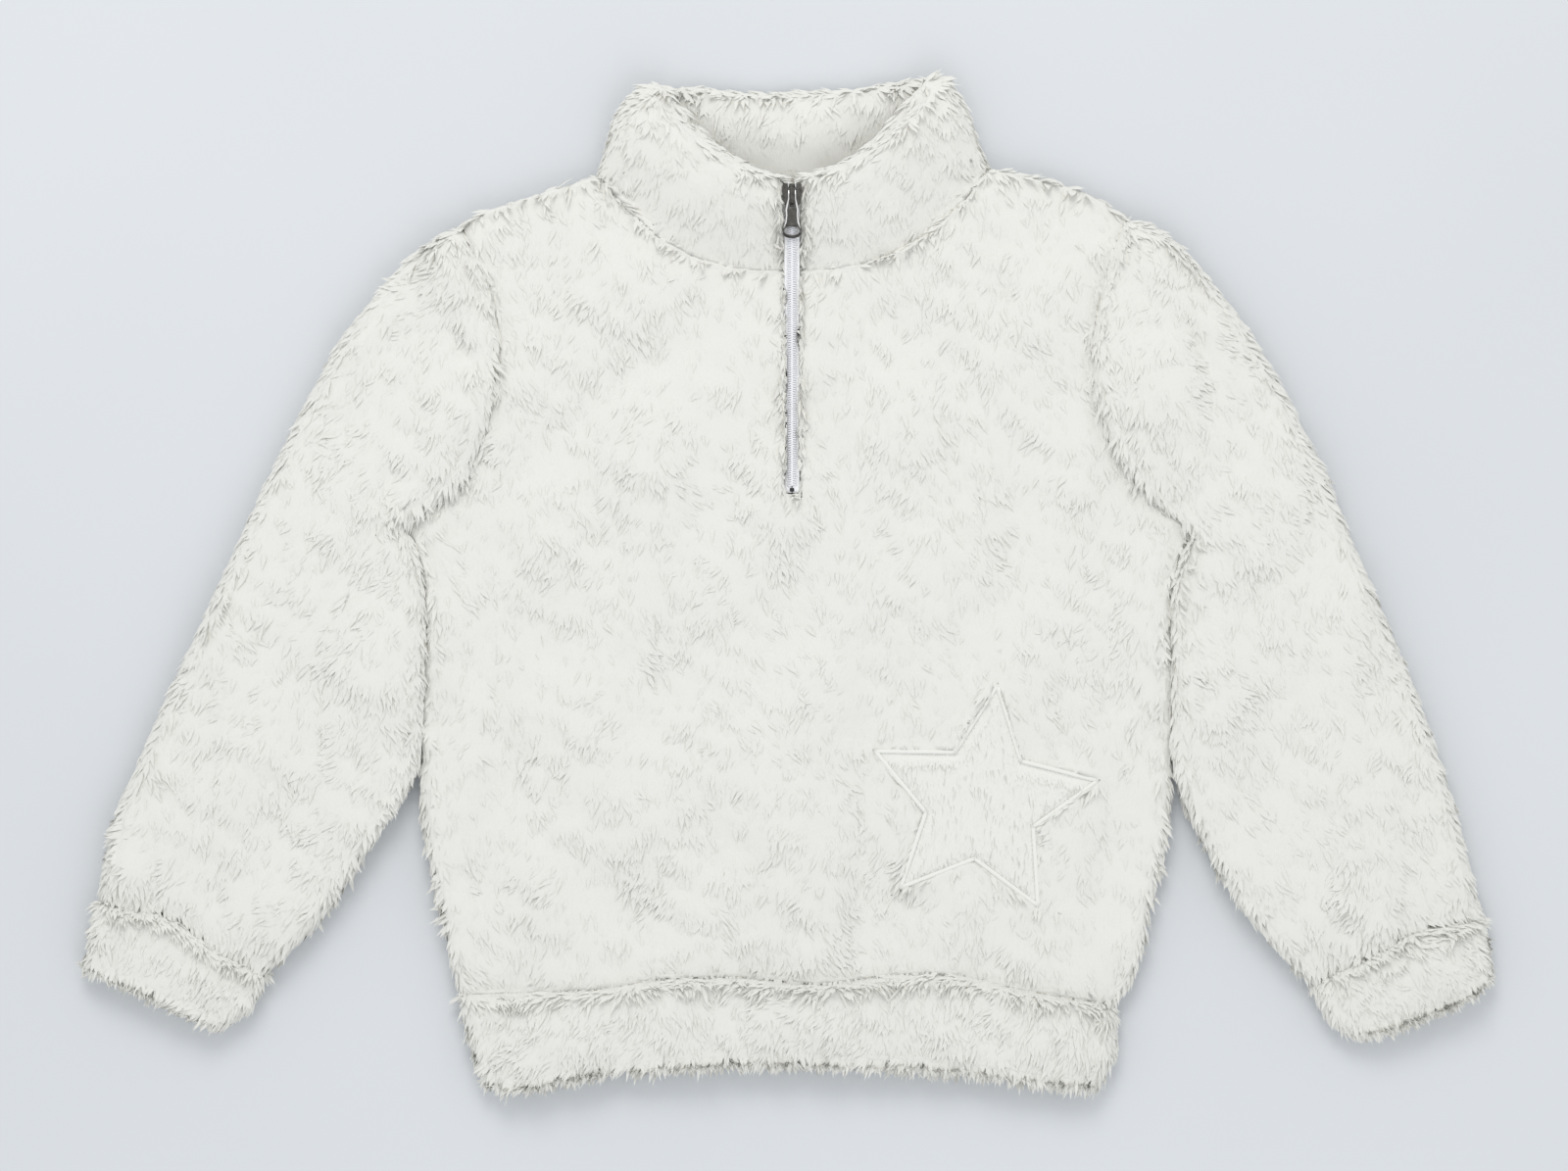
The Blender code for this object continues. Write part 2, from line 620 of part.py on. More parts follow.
def make_end_band(name, seam_points, end, edge_a, edge_b, height, away):
    """Cuff or hem band: from the points of the piece it is sewn to, down to the free edge."""
    at = lengths(seam_points) / lengths(seam_points)[-1]
    start = move_off(seam_points, away, PLAN_GAP)
    depth = lengths(smooth_curve(edge_a))[-1]
    down = edge_fractions(depth, SEAM_STEPS, (0.0, 2.0, 6.0), 1)
    side_a = pick(smooth_curve((tuple(start[0]),) + edge_a[1:]), down)
    side_b = pick(smooth_curve((tuple(start[-1]),) + edge_b[1:]), down)
    plan = coons(start, pick(smooth_curve(end), at), side_a, side_b, at, down)
    return flat_tube(name, plan, height, SLEEVE_SEAM_Z)


def collar_row(up):
    at = [r.up for r in COLLAR_ROWS]
    dense = smooth_curve([tuple(r) for r in COLLAR_ROWS])
    return CollarRow(*[float(np.interp(up, dense[:, 0], dense[:, k])) for k in range(len(COLLAR_ROWS[0]))]) \
        if up > at[0] else COLLAR_ROWS[0]


def collar_top(up):
    """Height of the collar's front face above the surface, from neck seam to rim."""
    return COLLAR_FRONT_LOW + (COLLAR_FRONT_HIGH - COLLAR_FRONT_LOW) * ease(0.08 + 0.92 * up) ** 0.8


def make_collar():
    stations = edge_fractions(54.0, SEAM_STEPS, (0.0, 1.5, 5.0), 5)
    across = 2 * neck_fractions(NECK_COLUMNS) - 1
    lift = np.array([0.0, PLAN_GAP])
    outer = []
    inner = []
    for up in stations:
        row = collar_row(up)
        front = neck_point(across, row) + lift
        back = neck_point(across, row, front=False) + lift
        half_width = (row.left_x - row.right_x) / 2
        side = (1 - np.abs(across)) * half_width
        rise = round_rise(side / COLLAR_SIDE_ROUND)
        high = float(collar_top(up))
        wall = 4.5 + (COLLAR_WALL - 4.5) * float(ease(up * 1.6))
        back_wall = COLLAR_BACK_LOW + (COLLAR_WALL - COLLAR_BACK_LOW) * float(ease(up * 1.6))
        seam_z = BODY_SEAM_Z + (high / 2 - BODY_SEAM_Z) * float(ease(up * 1.3))
        soft = 0.35 + 0.65 * float(round_rise((1 - up) * 54.0 / 6.0))
        top = seam_z + (high - wall * (1 - soft) - seam_z) * rise
        bottom = seam_z * (1 - rise)
        inset = TUBE_WALL + (COLLAR_WALL - TUBE_WALL) * up
        shrink = (half_width - inset) / half_width
        in_side = side * shrink
        in_rise = round_rise(in_side / 8.0)
        in_top = seam_z + max(high - wall - seam_z, 0.25) * in_rise
        in_low = seam_z - max(seam_z - back_wall * soft, 0.25) * in_rise
        centre = front[len(front) // 2, 0]
        squeeze = np.array([[centre + (p[0] - centre) * shrink, p[1]] for p in front])
        squeeze_back = np.array([[centre + (p[0] - centre) * shrink, p[1]] for p in back])
        outer.append(closed_rings(front[None], back[None], top[None], bottom[None])[0])
        inner.append(closed_rings(squeeze[None], squeeze_back[None], in_top[None], in_low[None])[0])
    return wall_solid("collar", np.array(outer), np.array(inner), ring=True)


def prism(name, outline, low, high, slot="fleece"):
    """Straight prism over a plan outline."""
    count = len(outline)
    points = [(x, y, low) for x, y in outline] + [(x, y, high) for x, y in outline]
    faces = [tuple(range(count - 1, -1, -1)), tuple(range(count, 2 * count))]
    for k in range(count):
        n = (k + 1) % count
        faces.append((k, n, n + count, k + count))
    return mesh_object(name, points, faces, slot)


def star_outline(grow):
    points = []
    for k in range(10):
        radius = (STAR_RADIUS + 2.2 * grow) if k % 2 == 0 else (STAR_INNER + 1.1 * grow)
        angle = math.radians(90) + STAR_TURN - k * math.radians(36)
        points.append((STAR_CENTRE[0] + radius * math.cos(angle),
                       STAR_CENTRE[1] + radius * math.sin(angle)))
    return points[::-1]


def slab_on(plan, top, low, high, name, slot):
    """Slab made from the panel's own points around the star, moved up or down."""
    reach = STAR_RADIUS + 16.0
    rows = np.where(np.abs(plan[:, :, 1].mean(1) - STAR_CENTRE[1]) < reach)[0]
    columns = np.where(np.abs(plan[rows].mean(0)[:, 0] - STAR_CENTRE[0]) < reach)[0]
    part = plan[rows[0]:rows[-1] + 1, columns[0]:columns[-1] + 1]
    face = top[rows[0]:rows[-1] + 1, columns[0]:columns[-1] + 1]
    return panel_solid(name, part, face + high, face + low, slot, flatten=False)


def make_star(front, plan, top):
    pocket = slab_on(plan, top, -STAR_POCKET, 8.0, "star_pocket", "fleece")
    cutter(prism("star_pocket_outline", star_outline(SEAM_GAP), 0.0, 60.0), pocket, "INTERSECT")
    star = slab_on(plan, top, -STAR_SLAB[0], -STAR_SLAB[1], "star_patch", "shorn")
    cutter(prism("star_outline", star_outline(0.0), 0.0, 60.0), star, "INTERSECT")
    cutter(pocket, front, "DIFFERENCE")
    return star


def pile_top(y):
    """Height of the pile beside the zip at a given y."""
    neck_y = neck_point(np.array(0.0), COLLAR_ROWS[0])[1]
    if y <= neck_y:
        beside = np.array([[[ZIP_X + 8.0, min(y, neck_y - GROOVE_WIDTH)]]])
        return float(front_top(beside)[0, 0])
    ups = np.linspace(0, 1, 40)
    ys = np.array([neck_point(np.array(0.0), collar_row(up))[1] for up in ups])
    return float(np.interp(y, ys, [float(collar_top(up)) for up in ups]))


def tape_path():
    """(y, z) of the tape's underside, from the bottom stop to the rim of the collar."""
    ys = np.concatenate([np.arange(ZIP_LOW_Y, 180.0, 14.0), np.arange(182.0, 236.5, 9.0), [237.0]])
    raw = np.array([pile_top(y) - TAPE_DEPTH for y in ys])
    soft = np.convolve(np.pad(raw, 2, mode="edge"), np.full(5, 0.2), mode="valid")
    return ys, np.maximum(soft, BODY_SEAM_Z + 1.0)


def make_tape(name, side):
    """One tape with its half of the closed coil as a raised strip along the middle."""
    ys, zs = tape_path()
    gap = SEAM_GAP / 2
    profile = [
        (gap, 0.0), (TAPE_HALF_WIDTH, 0.0), (TAPE_HALF_WIDTH, TAPE_THICKNESS),
        (COIL_HALF_WIDTH, TAPE_THICKNESS), (COIL_HALF_WIDTH - 0.7, TAPE_THICKNESS + COIL_HEIGHT),
        (gap, TAPE_THICKNESS + COIL_HEIGHT),
    ]
    points = []
    for k, (y, z) in enumerate(zip(ys, zs)):
        under_stop = k == 0
        for x, up in profile:
            points.append((ZIP_X + side * x, y, z + (min(up, TAPE_THICKNESS + 0.05) if under_stop else up)))
    count = len(profile)
    faces = [tuple(range(count)), tuple(range(len(points) - 1, len(points) - 1 - count, -1))]
    for s in range(len(ys) - 1):
        for k in range(count):
            a = s * count + k
            b = s * count + (k + 1) % count
            faces += [(a, b, b + count), (a, b + count, a + count)]
    return mesh_object(name, points, faces, "tape")


def zip_slot(name, half_width, low_y, high_y, low_z):
    outline = [(ZIP_X - half_width, low_y), (ZIP_X + half_width, low_y),
               (ZIP_X + half_width, high_y), (ZIP_X - half_width, high_y)]
    return prism(name, outline, low_z, 60.0)


def rounded_outline(corners, radius, steps=3):
    """Outline with each corner rounded."""
    points = []
    for a, b, c in zip(corners[-1:] + corners[:-1], corners, corners[1:] + corners[:1]):
        b = Vector(b)
        start = b + (Vector(a) - b).normalized() * radius
        end = b + (Vector(c) - b).normalized() * radius
        for k in range(steps + 1):
            t = k / steps
            points.append(tuple((1 - t) ** 2 * start + 2 * t * (1 - t) * b + t**2 * end))
    return points


def along_x(name, outline, half_width, slot):
    """Prism whose outline is in y and z and whose length runs along x."""
    made = prism(name, outline, -half_width, half_width, slot)
    made.data.transform(Matrix(((0, 0, 1, 0), (1, 0, 0, 0), (0, 1, 0, 0), (0, 0, 0, 1))))
    return made


def make_slider(frame):
    """Top plate with side flanges, and the bridge that the pull's bar lies under."""
    plate_top = -AXIS_ABOVE_PLATE
    plate_low = plate_top - SLIDER_PLATE
    low_y = SLIDER_TOP_Y - SLIDER_LENGTH
    corners = [(-SLIDER_HALF_WIDTH_LOW, low_y), (SLIDER_HALF_WIDTH_LOW, low_y),
               (SLIDER_HALF_WIDTH_TOP, SLIDER_TOP_Y - 4.0), (SLIDER_HALF_WIDTH_TOP - 0.6, SLIDER_TOP_Y),
               (-SLIDER_HALF_WIDTH_TOP + 0.6, SLIDER_TOP_Y), (-SLIDER_HALF_WIDTH_TOP, SLIDER_TOP_Y - 4.0)]
    slider = prism("zip_slider", rounded_outline(corners, 1.0), plate_low - FLANGE_DEPTH, plate_top, "gunmetal")
    channel = SLIDER_HALF_WIDTH_LOW - FLANGE_WIDTH + 0.2
    trough = [(-channel, low_y - 5), (channel, low_y - 5), (channel, SLIDER_TOP_Y + 5), (-channel, SLIDER_TOP_Y + 5)]
    trough = prism("slider_channel", trough, plate_low - FLANGE_DEPTH - 5, plate_low)
    cutter(trough, slider, "DIFFERENCE")
    arch_top = plate_top + BRIDGE_WINDOW + BRIDGE_ARCH
    sunk = plate_top - 0.4
    arch = [(BRIDGE_TOP_Y, sunk), (BRIDGE_TOP_Y, arch_top - 1.2), (BRIDGE_TOP_Y - 0.9, arch_top),
            (BRIDGE_LOW_Y + 1.6, arch_top), (BRIDGE_LOW_Y, arch_top - 1.8), (BRIDGE_LOW_Y, sunk),
            (BRIDGE_LOW_Y + BRIDGE_LEG, sunk), (BRIDGE_LOW_Y + BRIDGE_LEG, plate_top + BRIDGE_WINDOW),
            (BRIDGE_TOP_Y - BRIDGE_LEG, plate_top + BRIDGE_WINDOW), (BRIDGE_TOP_Y - BRIDGE_LEG, sunk)]
    bridge = along_x("slider_bridge", arch, BRIDGE_HALF_WIDTH, "gunmetal")
    cutter(bridge, slider, "UNION")
    for piece in (slider, trough, bridge):
        piece.parent = frame
    return slider


def pull_outline():
    """Plan of the pull tab: eye, waist and round grip."""
    half = [(PULL_EYE_HALF + 0.9, PULL_BAR), (PULL_EYE_HALF + 1.0, -6.0), (3.9, -10.2), (4.1, -12.5),
            (3.8, -16.0), (4.3, -20.0), (5.6, -23.5), (6.15, -25.4), (5.7, -27.4), (4.0, -28.9),
            (1.6, -29.6)]
    return [(-x, y) for x, y in half] + [(x, y) for x, y in reversed(half)]


def make_pull(frame):
    tab = prism("zip_pull", pull_outline(), -PULL_THICKNESS / 2, PULL_THICKNESS / 2, "gunmetal")
    eye_top = -PULL_BAR
    eye = prism("pull_eye", [(-PULL_EYE_HALF, PULL_EYE_LOW_Y), (PULL_EYE_HALF, PULL_EYE_LOW_Y),
                             (PULL_EYE_HALF, eye_top), (-PULL_EYE_HALF, eye_top)], -5.0, 5.0)
    turns = 20
    ring = [(PULL_HOLE_HALF[0] * math.cos(2 * math.pi * k / turns),
             PULL_HOLE_Y + PULL_HOLE_HALF[1] * math.sin(2 * math.pi * k / turns)) for k in range(turns)]
    hole = prism("pull_hole", ring, -5.0, 5.0)
    tilt = Matrix.Rotation(PULL_REST_TILT, 4, "X")
    for piece in (tab, eye, hole):
        piece.data.transform(tilt)
        piece.parent = frame
    for piece in (eye, hole):
        cutter(piece, tab, "DIFFERENCE")
    return tab


def make_stop():
    ys, zs = tape_path()
    width, length, height = STOP_SIZE
    low = zs[0] + TAPE_THICKNESS + SEAM_GAP
    outline = rounded_outline([(ZIP_X - width / 2, ys[0] - length - SEAM_GAP),
                               (ZIP_X + width / 2, ys[0] - length - SEAM_GAP),
                               (ZIP_X + width / 2, ys[0] - SEAM_GAP), (ZIP_X - width / 2, ys[0] - SEAM_GAP)], 0.5)
    return prism("zip_stop", outline, low - 1.2, low - 1.2 + height + 1.6, "black")


def hinge_frame():
    """Empty on the pull's hinge axis, leaning with the zip."""
    ys, zs = tape_path()
    low_y = HINGE_Y - 30.0
    top_z = np.interp(HINGE_Y, ys, zs)
    low_z = np.interp(low_y, ys, zs)
    slope = math.atan2(top_z - low_z, HINGE_Y - low_y)
    under = np.linspace(HINGE_Y - SLIDER_LENGTH, HINGE_Y + SLIDER_TOP_Y, 12)
    bulge = max(np.interp(under, ys, zs) - top_z - (under - HINGE_Y) * math.tan(slope))
    above = TAPE_THICKNESS + COIL_HEIGHT + SEAM_GAP + SLIDER_PLATE + AXIS_ABOVE_PLATE + float(bulge)
    above = above / math.cos(slope)
    frame = bpy.data.objects.new("pull_hinge", None)
    bpy.context.collection.objects.link(frame)
    frame.location = (ZIP_X * MM, HINGE_Y * MM, float(top_z + above) * MM)
    frame.rotation_euler = (slope, 0.0, 0.0)
    return frame


def make_zip(front, collar):
    make_tape("zip_tape_right", -1)
    make_tape("zip_tape_left", 1)
    make_stop()
    frame = hinge_frame()
    make_slider(frame)
    make_pull(frame)
    slot_low_y = ZIP_LOW_Y - 2 * SEAM_GAP - STOP_SIZE[1]
    narrow = zip_slot("zip_slot", TAPE_HALF_WIDTH + SEAM_GAP, slot_low_y, COLLAR_BACK_Y - 1.0, BODY_SEAM_Z)
    wide = zip_slot("slider_slot", SLIDER_HALF_WIDTH_TOP + 2 * SEAM_GAP, HINGE_Y - 31.0,
                    COLLAR_BACK_Y + 25.0, COLLAR_WALL + 1.0)
    cutter(narrow, front, "DIFFERENCE")
    cutter(narrow, collar, "DIFFERENCE")
    cutter(wide, collar, "DIFFERENCE")


def build():
    for old in list(bpy.data.objects):
        bpy.data.objects.remove(old, do_unlink=True)
    right_side, left_side = body_rows()
    front, plan, top = make_front()
    make_back()
    seam_right = make_sleeve("sleeve_right", ARMHOLE_RIGHT, right_side, SLEEVE_OUTER_RIGHT,
                             SLEEVE_UNDER_RIGHT, SLEEVE_PARTS_RIGHT, CUFF_SEAM_RIGHT, (-400, 0))
    seam_left = make_sleeve("sleeve_left", ARMHOLE_LEFT, left_side, SLEEVE_OUTER_LEFT,
                            SLEEVE_UNDER_LEFT, SLEEVE_PARTS_LEFT, CUFF_SEAM_LEFT, (400, 0))
    make_end_band("cuff_right", thinned(seam_right), CUFF_END_RIGHT, CUFF_OUTER_RIGHT, CUFF_UNDER_RIGHT,
                  CUFF_HEIGHT, (-400, -400))
    make_end_band("cuff_left", thinned(seam_left), CUFF_END_LEFT, CUFF_OUTER_LEFT, CUFF_UNDER_LEFT,
                  CUFF_HEIGHT, (400, -400))
    make_end_band("hem_band", plan[0], BAND_END, BAND_EDGE_RIGHT, BAND_EDGE_LEFT,
                  BAND_HEIGHT, (0, -400))
    collar = make_collar()
    make_star(front, plan, top)
    make_zip(front, collar)


build()
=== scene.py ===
"""A child's half-zip sweatshirt of white pile fleece, laid flat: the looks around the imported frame."""

import json
import math
from collections import namedtuple

import bmesh
import bpy
import numpy as np
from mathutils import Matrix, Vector
from mathutils.bvhtree import BVHTree
from mathutils.kdtree import KDTree


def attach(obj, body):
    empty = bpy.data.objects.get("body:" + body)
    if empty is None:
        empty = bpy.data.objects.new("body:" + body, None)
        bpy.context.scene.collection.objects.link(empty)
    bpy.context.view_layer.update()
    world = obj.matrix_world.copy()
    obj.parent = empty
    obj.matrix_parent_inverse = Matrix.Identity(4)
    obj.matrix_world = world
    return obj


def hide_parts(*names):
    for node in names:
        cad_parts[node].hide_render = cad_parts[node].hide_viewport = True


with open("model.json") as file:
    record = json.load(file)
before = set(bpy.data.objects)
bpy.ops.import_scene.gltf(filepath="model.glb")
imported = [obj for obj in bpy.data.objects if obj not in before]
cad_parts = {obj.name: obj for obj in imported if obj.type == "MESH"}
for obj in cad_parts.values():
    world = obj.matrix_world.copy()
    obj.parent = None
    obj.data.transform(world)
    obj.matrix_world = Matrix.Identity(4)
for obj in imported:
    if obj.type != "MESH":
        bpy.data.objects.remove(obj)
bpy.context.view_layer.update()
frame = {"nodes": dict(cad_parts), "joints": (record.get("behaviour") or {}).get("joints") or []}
MM = 0.001

# Camera, matched to the photograph: straight above, the image 928 mm wide at the cloth
IMAGE_CENTRE = (-2.9, -2.0)
IMAGE_WIDTH = 928.0
CLOTH_LEVEL = 12.0
CAMERA_HEIGHT = 2200.0
SENSOR = 36.0

# Garment landmarks, in mm, repeated from the part's source
ZIP_X = 1.8
ZIP_LOW_Y = 56.0
ZIP_TOP_Y = 233.6
TAPE_HALF_WIDTH = 4.25
STAR_CENTRE = (114.0, -130.0)
STAR_RADIUS = 71.0
STAR_INNER = 34.5
STAR_TURN = math.radians(-7.5)

CLOTH_NODES = (
    "front", "back", "sleeve_right", "sleeve_left", "cuff_right", "cuff_left", "hem_band", "collar",
)

# Folds that show, as soft ridges (height above 0) and troughs (below 0) along a path
Fold = namedtuple("Fold", "path width height")
FOLDS = (
    Fold(((47, -61), (46, -150), (44, -226)), 9, -2.6),
    Fold(((-10, -95), (-6, -222)), 34, 2.0),
    Fold(((-36, -204), (-29, -230)), 6, -2.0),
    Fold(((-177, -27), (-172, -73), (-174, -110), (-181, -177)), 9, -1.6),
    Fold(((191, -3), (192, -90), (186, -200)), 9, -1.5),
    Fold(((-49, 147), (-111, 116), (-142, 72)), 12, -1.4),
    Fold(((55, 153), (99, 129), (124, 99), (139, 66), (130, -3)), 12, -1.7),
    Fold(((-168, -96), (-160, -137), (-119, -177), (-61, -206)), 10, -1.5),
    Fold(((-200, 153), (-187, 126)), 6, -2.2),
    Fold(((-226, 158), (-244, 127)), 8, -1.6),
    Fold(((-231, 72), (-238, 52)), 8, -1.6),
    Fold(((-290, 20), (-262, -10)), 11, -1.4),
    Fold(((-339, -172), (-332, -192)), 6, -1.8),
    Fold(((-376, -170), (-374, -188)), 6, -1.4),
    Fold(((230, 160), (240, 147), (251, 116)), 7, -2.8),
    Fold(((222, 85), (239, 31)), 8, -1.8),
    Fold(((292, 10), (268, -22)), 11, -1.4),
    Fold(((360, -186), (364, -205)), 6, -1.8),
    Fold(((330, -200), (326, -220)), 6, -1.4),
)

# How each cloth piece is covered: its longest mesh edge, and its locks' count, length, width, comb
# direction and lift
Coat = namedtuple("Coat", "edge locks length width comb lift")
COATS = {
    "front": Coat(6.0, 32500, 9.0, 2.3, (0.0, -1.0), 0.22),
    "back": Coat(9.0, 9000, 8.0, 2.6, (0.0, -1.0), 0.30),
    "sleeve_right": Coat(6.5, 17000, 9.0, 2.3, (-0.30, -0.95), 0.22),
    "sleeve_left": Coat(6.5, 17000, 9.0, 2.3, (0.30, -0.95), 0.22),
    "cuff_right": Coat(4.0, 5600, 8.0, 2.1, (-0.42, -0.91), 0.25),
    "cuff_left": Coat(4.0, 5600, 8.0, 2.1, (0.42, -0.91), 0.25),
    "hem_band": Coat(5.0, 14500, 9.0, 2.1, (-0.18, -0.98), 0.27),
    "collar": Coat(5.0, 14500, 8.5, 2.2, (0.0, -1.0), 0.20),
}

# Knitted ground under the pile
SLIVER = 0.1  # edges shorter than this are dissolved
CUT_ROUNDS = 9
UNDER_LONGER = 2.2  # edges on hidden undersides may be this many times longer
SHELL_DEPTH = 1.7  # it lies this far below the tips of the pile
WALL_REACH = 30.0
FULL_WALL = 8.0  # thinner cloth has lower folds
SMOOTH_ROUNDS = 12
UP_FACING = 0.45  # a normal that rises more than this faces up
OPEN_REACH = 7.0  # cloth with other cloth in front of it, nearer than this, is covered
COVERED = 0.9 * OPEN_REACH
SEAM_REACH = 1.6  # edges nearer than this are sewn to each other
SEAM_LOOK_DOWN = 0.8  # the edge across the seam is looked for this far below each point
SEAM_START = 0.15  # and from this far ahead of it
SEAM_OVERLAP = 0.15  # each edge runs this far past the middle of the gap
LOWEST_GROUND = 0.6

# Locks of pile
RIM_CROWD = 3.4  # how crowded the locks are on a rim that they are combed over
BACK_RIM_CROWD = 0.6  # and on a rim that they are combed away from
RECESS_CROWD = 2.5  # how much more crowded in the hollow above the slider
RECESS_ABOVE = 5.5  # the hollow's centre is this far above the zip's end
RECESS_SIZE = (6.5, 5.0)
SEAM_CROWD = 1.5  # locks more crowded than this hang over a seam or the hollow
SEAM_LONGER = 1.15
EDGE_PAINTED_LIGHT = 0.16  # painted light: locks over seams and steep edges are painted this much lighter, against the shade there
SPARE_LOCKS = 1.3  # locks drawn for each that is kept
ROOT_DEPTH = 0.5  # roots start this far inside the ground
ROOT_OVERLAP = 0.2  # roots may stand this far in over the zip's tapes
TIP_OVERLAP = 0.7  # and tips may reach this far
SHORTENINGS = 3
SHORTER = 0.6
LOWEST_LOCK = 0.15
SHADE_ALONG = 0.20  # painted shade: a lock is painted darker at its root and grows lighter by this much to its tip
BLOTCH_SHARE = 0.16  # how far the tone wanders over the cloth
PARTING_POINTS = 12
PAINTED_SHADOW_STROKES = 0.025  # the share of thin locks painted dark as shadow lines between clumps of pile
SPLIT_SPACING = 17.0  # one parting of the pile for each square of this side
STRIPE_KEEP_CLEAR = 0.55  # half width of a parting
SOFT_SHADING = 0.96  # how far a lock is shaded like the surface that it lies on
EDGE_LEAN = 0.9  # how far locks on a curved-down edge lean out over it
LOCK_CROWN = 0.4  # height of a lock's rounded back, as a share of half its width


# Small tools


def wave_field(seed, wavelength, terms=14):
    """A smooth random field over points, about -1 to 1, with features of that wavelength."""
    rng = np.random.default_rng(seed)
    direction = rng.normal(size=(terms, 3))
    direction /= np.linalg.norm(direction, axis=1)[:, None]
    wave = direction * (2 * np.pi / (wavelength * rng.uniform(0.7, 1.4, terms)))[:, None]
    phase = rng.uniform(0, 2 * np.pi, terms)
    return lambda p: np.cos(p @ wave.T + phase).sum(1) * math.sqrt(2 / terms)


def unit(v):
    return v / np.maximum(np.linalg.norm(v, axis=-1, keepdims=True), 1e-9)


def ease(t):
    t = np.clip(t, 0.0, 1.0)
    return t * t * (3.0 - 2.0 * t)


def distance(points, line):
    """Plan distance of each point from a line, and how far along the line it is, 0 to 1."""
    line = np.asarray(line, float)
    a = line[:-1]
    ab = line[1:] - a
    best = np.full(len(points), 1e9)
    along = np.zeros(len(points))
    for k in range(len(a)):
        t = np.clip(((points[:, :2] - a[k]) @ ab[k]) / (ab[k] @ ab[k]), 0, 1)
        d = np.linalg.norm(points[:, :2] - (a[k] + t[:, None] * ab[k]), axis=1)
        near = d < best
        best[near] = d[near]
        along[near] = (k + t[near]) / len(a)
    return best, along


def mesh_piece(name, points, faces, material, body="garment", tone=None, normals=None):
    """A new piece from points in mm, with its own shading normals if they are given."""
    mesh = bpy.data.meshes.new(name)
    points = np.asarray(points, float) * MM
    mesh.from_pydata(points.tolist(), [], [tuple(map(int, f)) for f in faces])
    mesh.polygons.foreach_set("use_smooth", [True] * len(mesh.polygons))
    if tone is not None:
        attribute = mesh.attributes.new("tone", "FLOAT", "POINT")
        attribute.data.foreach_set("value", tone.astype(np.float32))
    mesh.materials.append(material)
    mesh.update()
    if normals is not None:
        mesh.normals_split_custom_set_from_vertices(normals.tolist())
    piece = bpy.data.objects.new(name, mesh)
    bpy.context.scene.collection.objects.link(piece)
    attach(piece, body)
    return piece


def sweep(path, radii, sides=6, flatten=1.0):
    """A closed round bar along a path: its points and faces."""
    path = np.asarray(path, float)
    ahead = unit(np.gradient(path, axis=0))
    side = unit(np.cross(ahead, [0.0, 0.0, 1.0]))
    up = np.cross(side, ahead)
    turn = np.linspace(0, 2 * np.pi, sides, endpoint=False)
    rings = [
        p + r * (np.outer(np.cos(turn), s) + flatten * np.outer(np.sin(turn), u))
        for p, r, s, u in zip(path, radii, side, up)
    ]
    faces = []
    for k in range(len(path) - 1):
        for j in range(sides):
            n = (j + 1) % sides
            faces.append((k * sides + j, (k + 1) * sides + j, (k + 1) * sides + n, k * sides + n))
    last = (len(path) - 1) * sides
    faces.append(tuple(range(sides)))
    faces.append(tuple(last + j for j in reversed(range(sides))))
    return np.vstack(rings), faces


def joined(parts):
    """Several point and face lists as one."""
    points, faces, start = [], [], 0
    for p, f in parts:
        points.append(p)
        faces.extend(tuple(i + start for i in face) for face in f)
        start += len(p)
    return np.vstack(points), faces


# Materials


def new_material(name):
    material = bpy.data.materials.new(name)
    material.use_nodes = True
    tree = material.node_tree
    return material, tree, tree.nodes["Principled BSDF"]


def add_node(tree, kind, inputs=(), **settings):
    made = tree.nodes.new(kind)
    for key, value in settings.items():
        setattr(made, key, value)
    for key, value in dict(inputs).items():
        made.inputs[key].default_value = value
    return made


def stretched_noise(tree, size, scale, detail=3.0):
    """Noise in the object's own space, stretched by size along each axis."""
    where = add_node(tree, "ShaderNodeTexCoord")
    mapping = add_node(tree, "ShaderNodeMapping", {"Scale": size})
    noise = add_node(tree, "ShaderNodeTexNoise", {"Scale": scale, "Detail": detail, "Roughness": 0.6})
    tree.links.new(where.outputs["Object"], mapping.inputs["Vector"])
    tree.links.new(mapping.outputs["Vector"], noise.inputs["Vector"])
    return noise.outputs["Fac"]


def ramp(tree, source, stops):
    made = add_node(tree, "ShaderNodeValToRGB")
    for k, (at, colour) in enumerate(stops):
        stop = made.color_ramp.elements[k] if k < 2 else made.color_ramp.elements.new(at)
        stop.position = at
        stop.color = (*colour, 1.0)
    tree.links.new(source, made.inputs["Fac"])
    return made.outputs["Color"]


def bump(tree, shader, height, strength, reach):
    made = add_node(tree, "ShaderNodeBump", {"Strength": strength, "Distance": reach})
    tree.links.new(height, made.inputs["Height"])
    tree.links.new(made.outputs["Normal"], shader.inputs["Normal"])


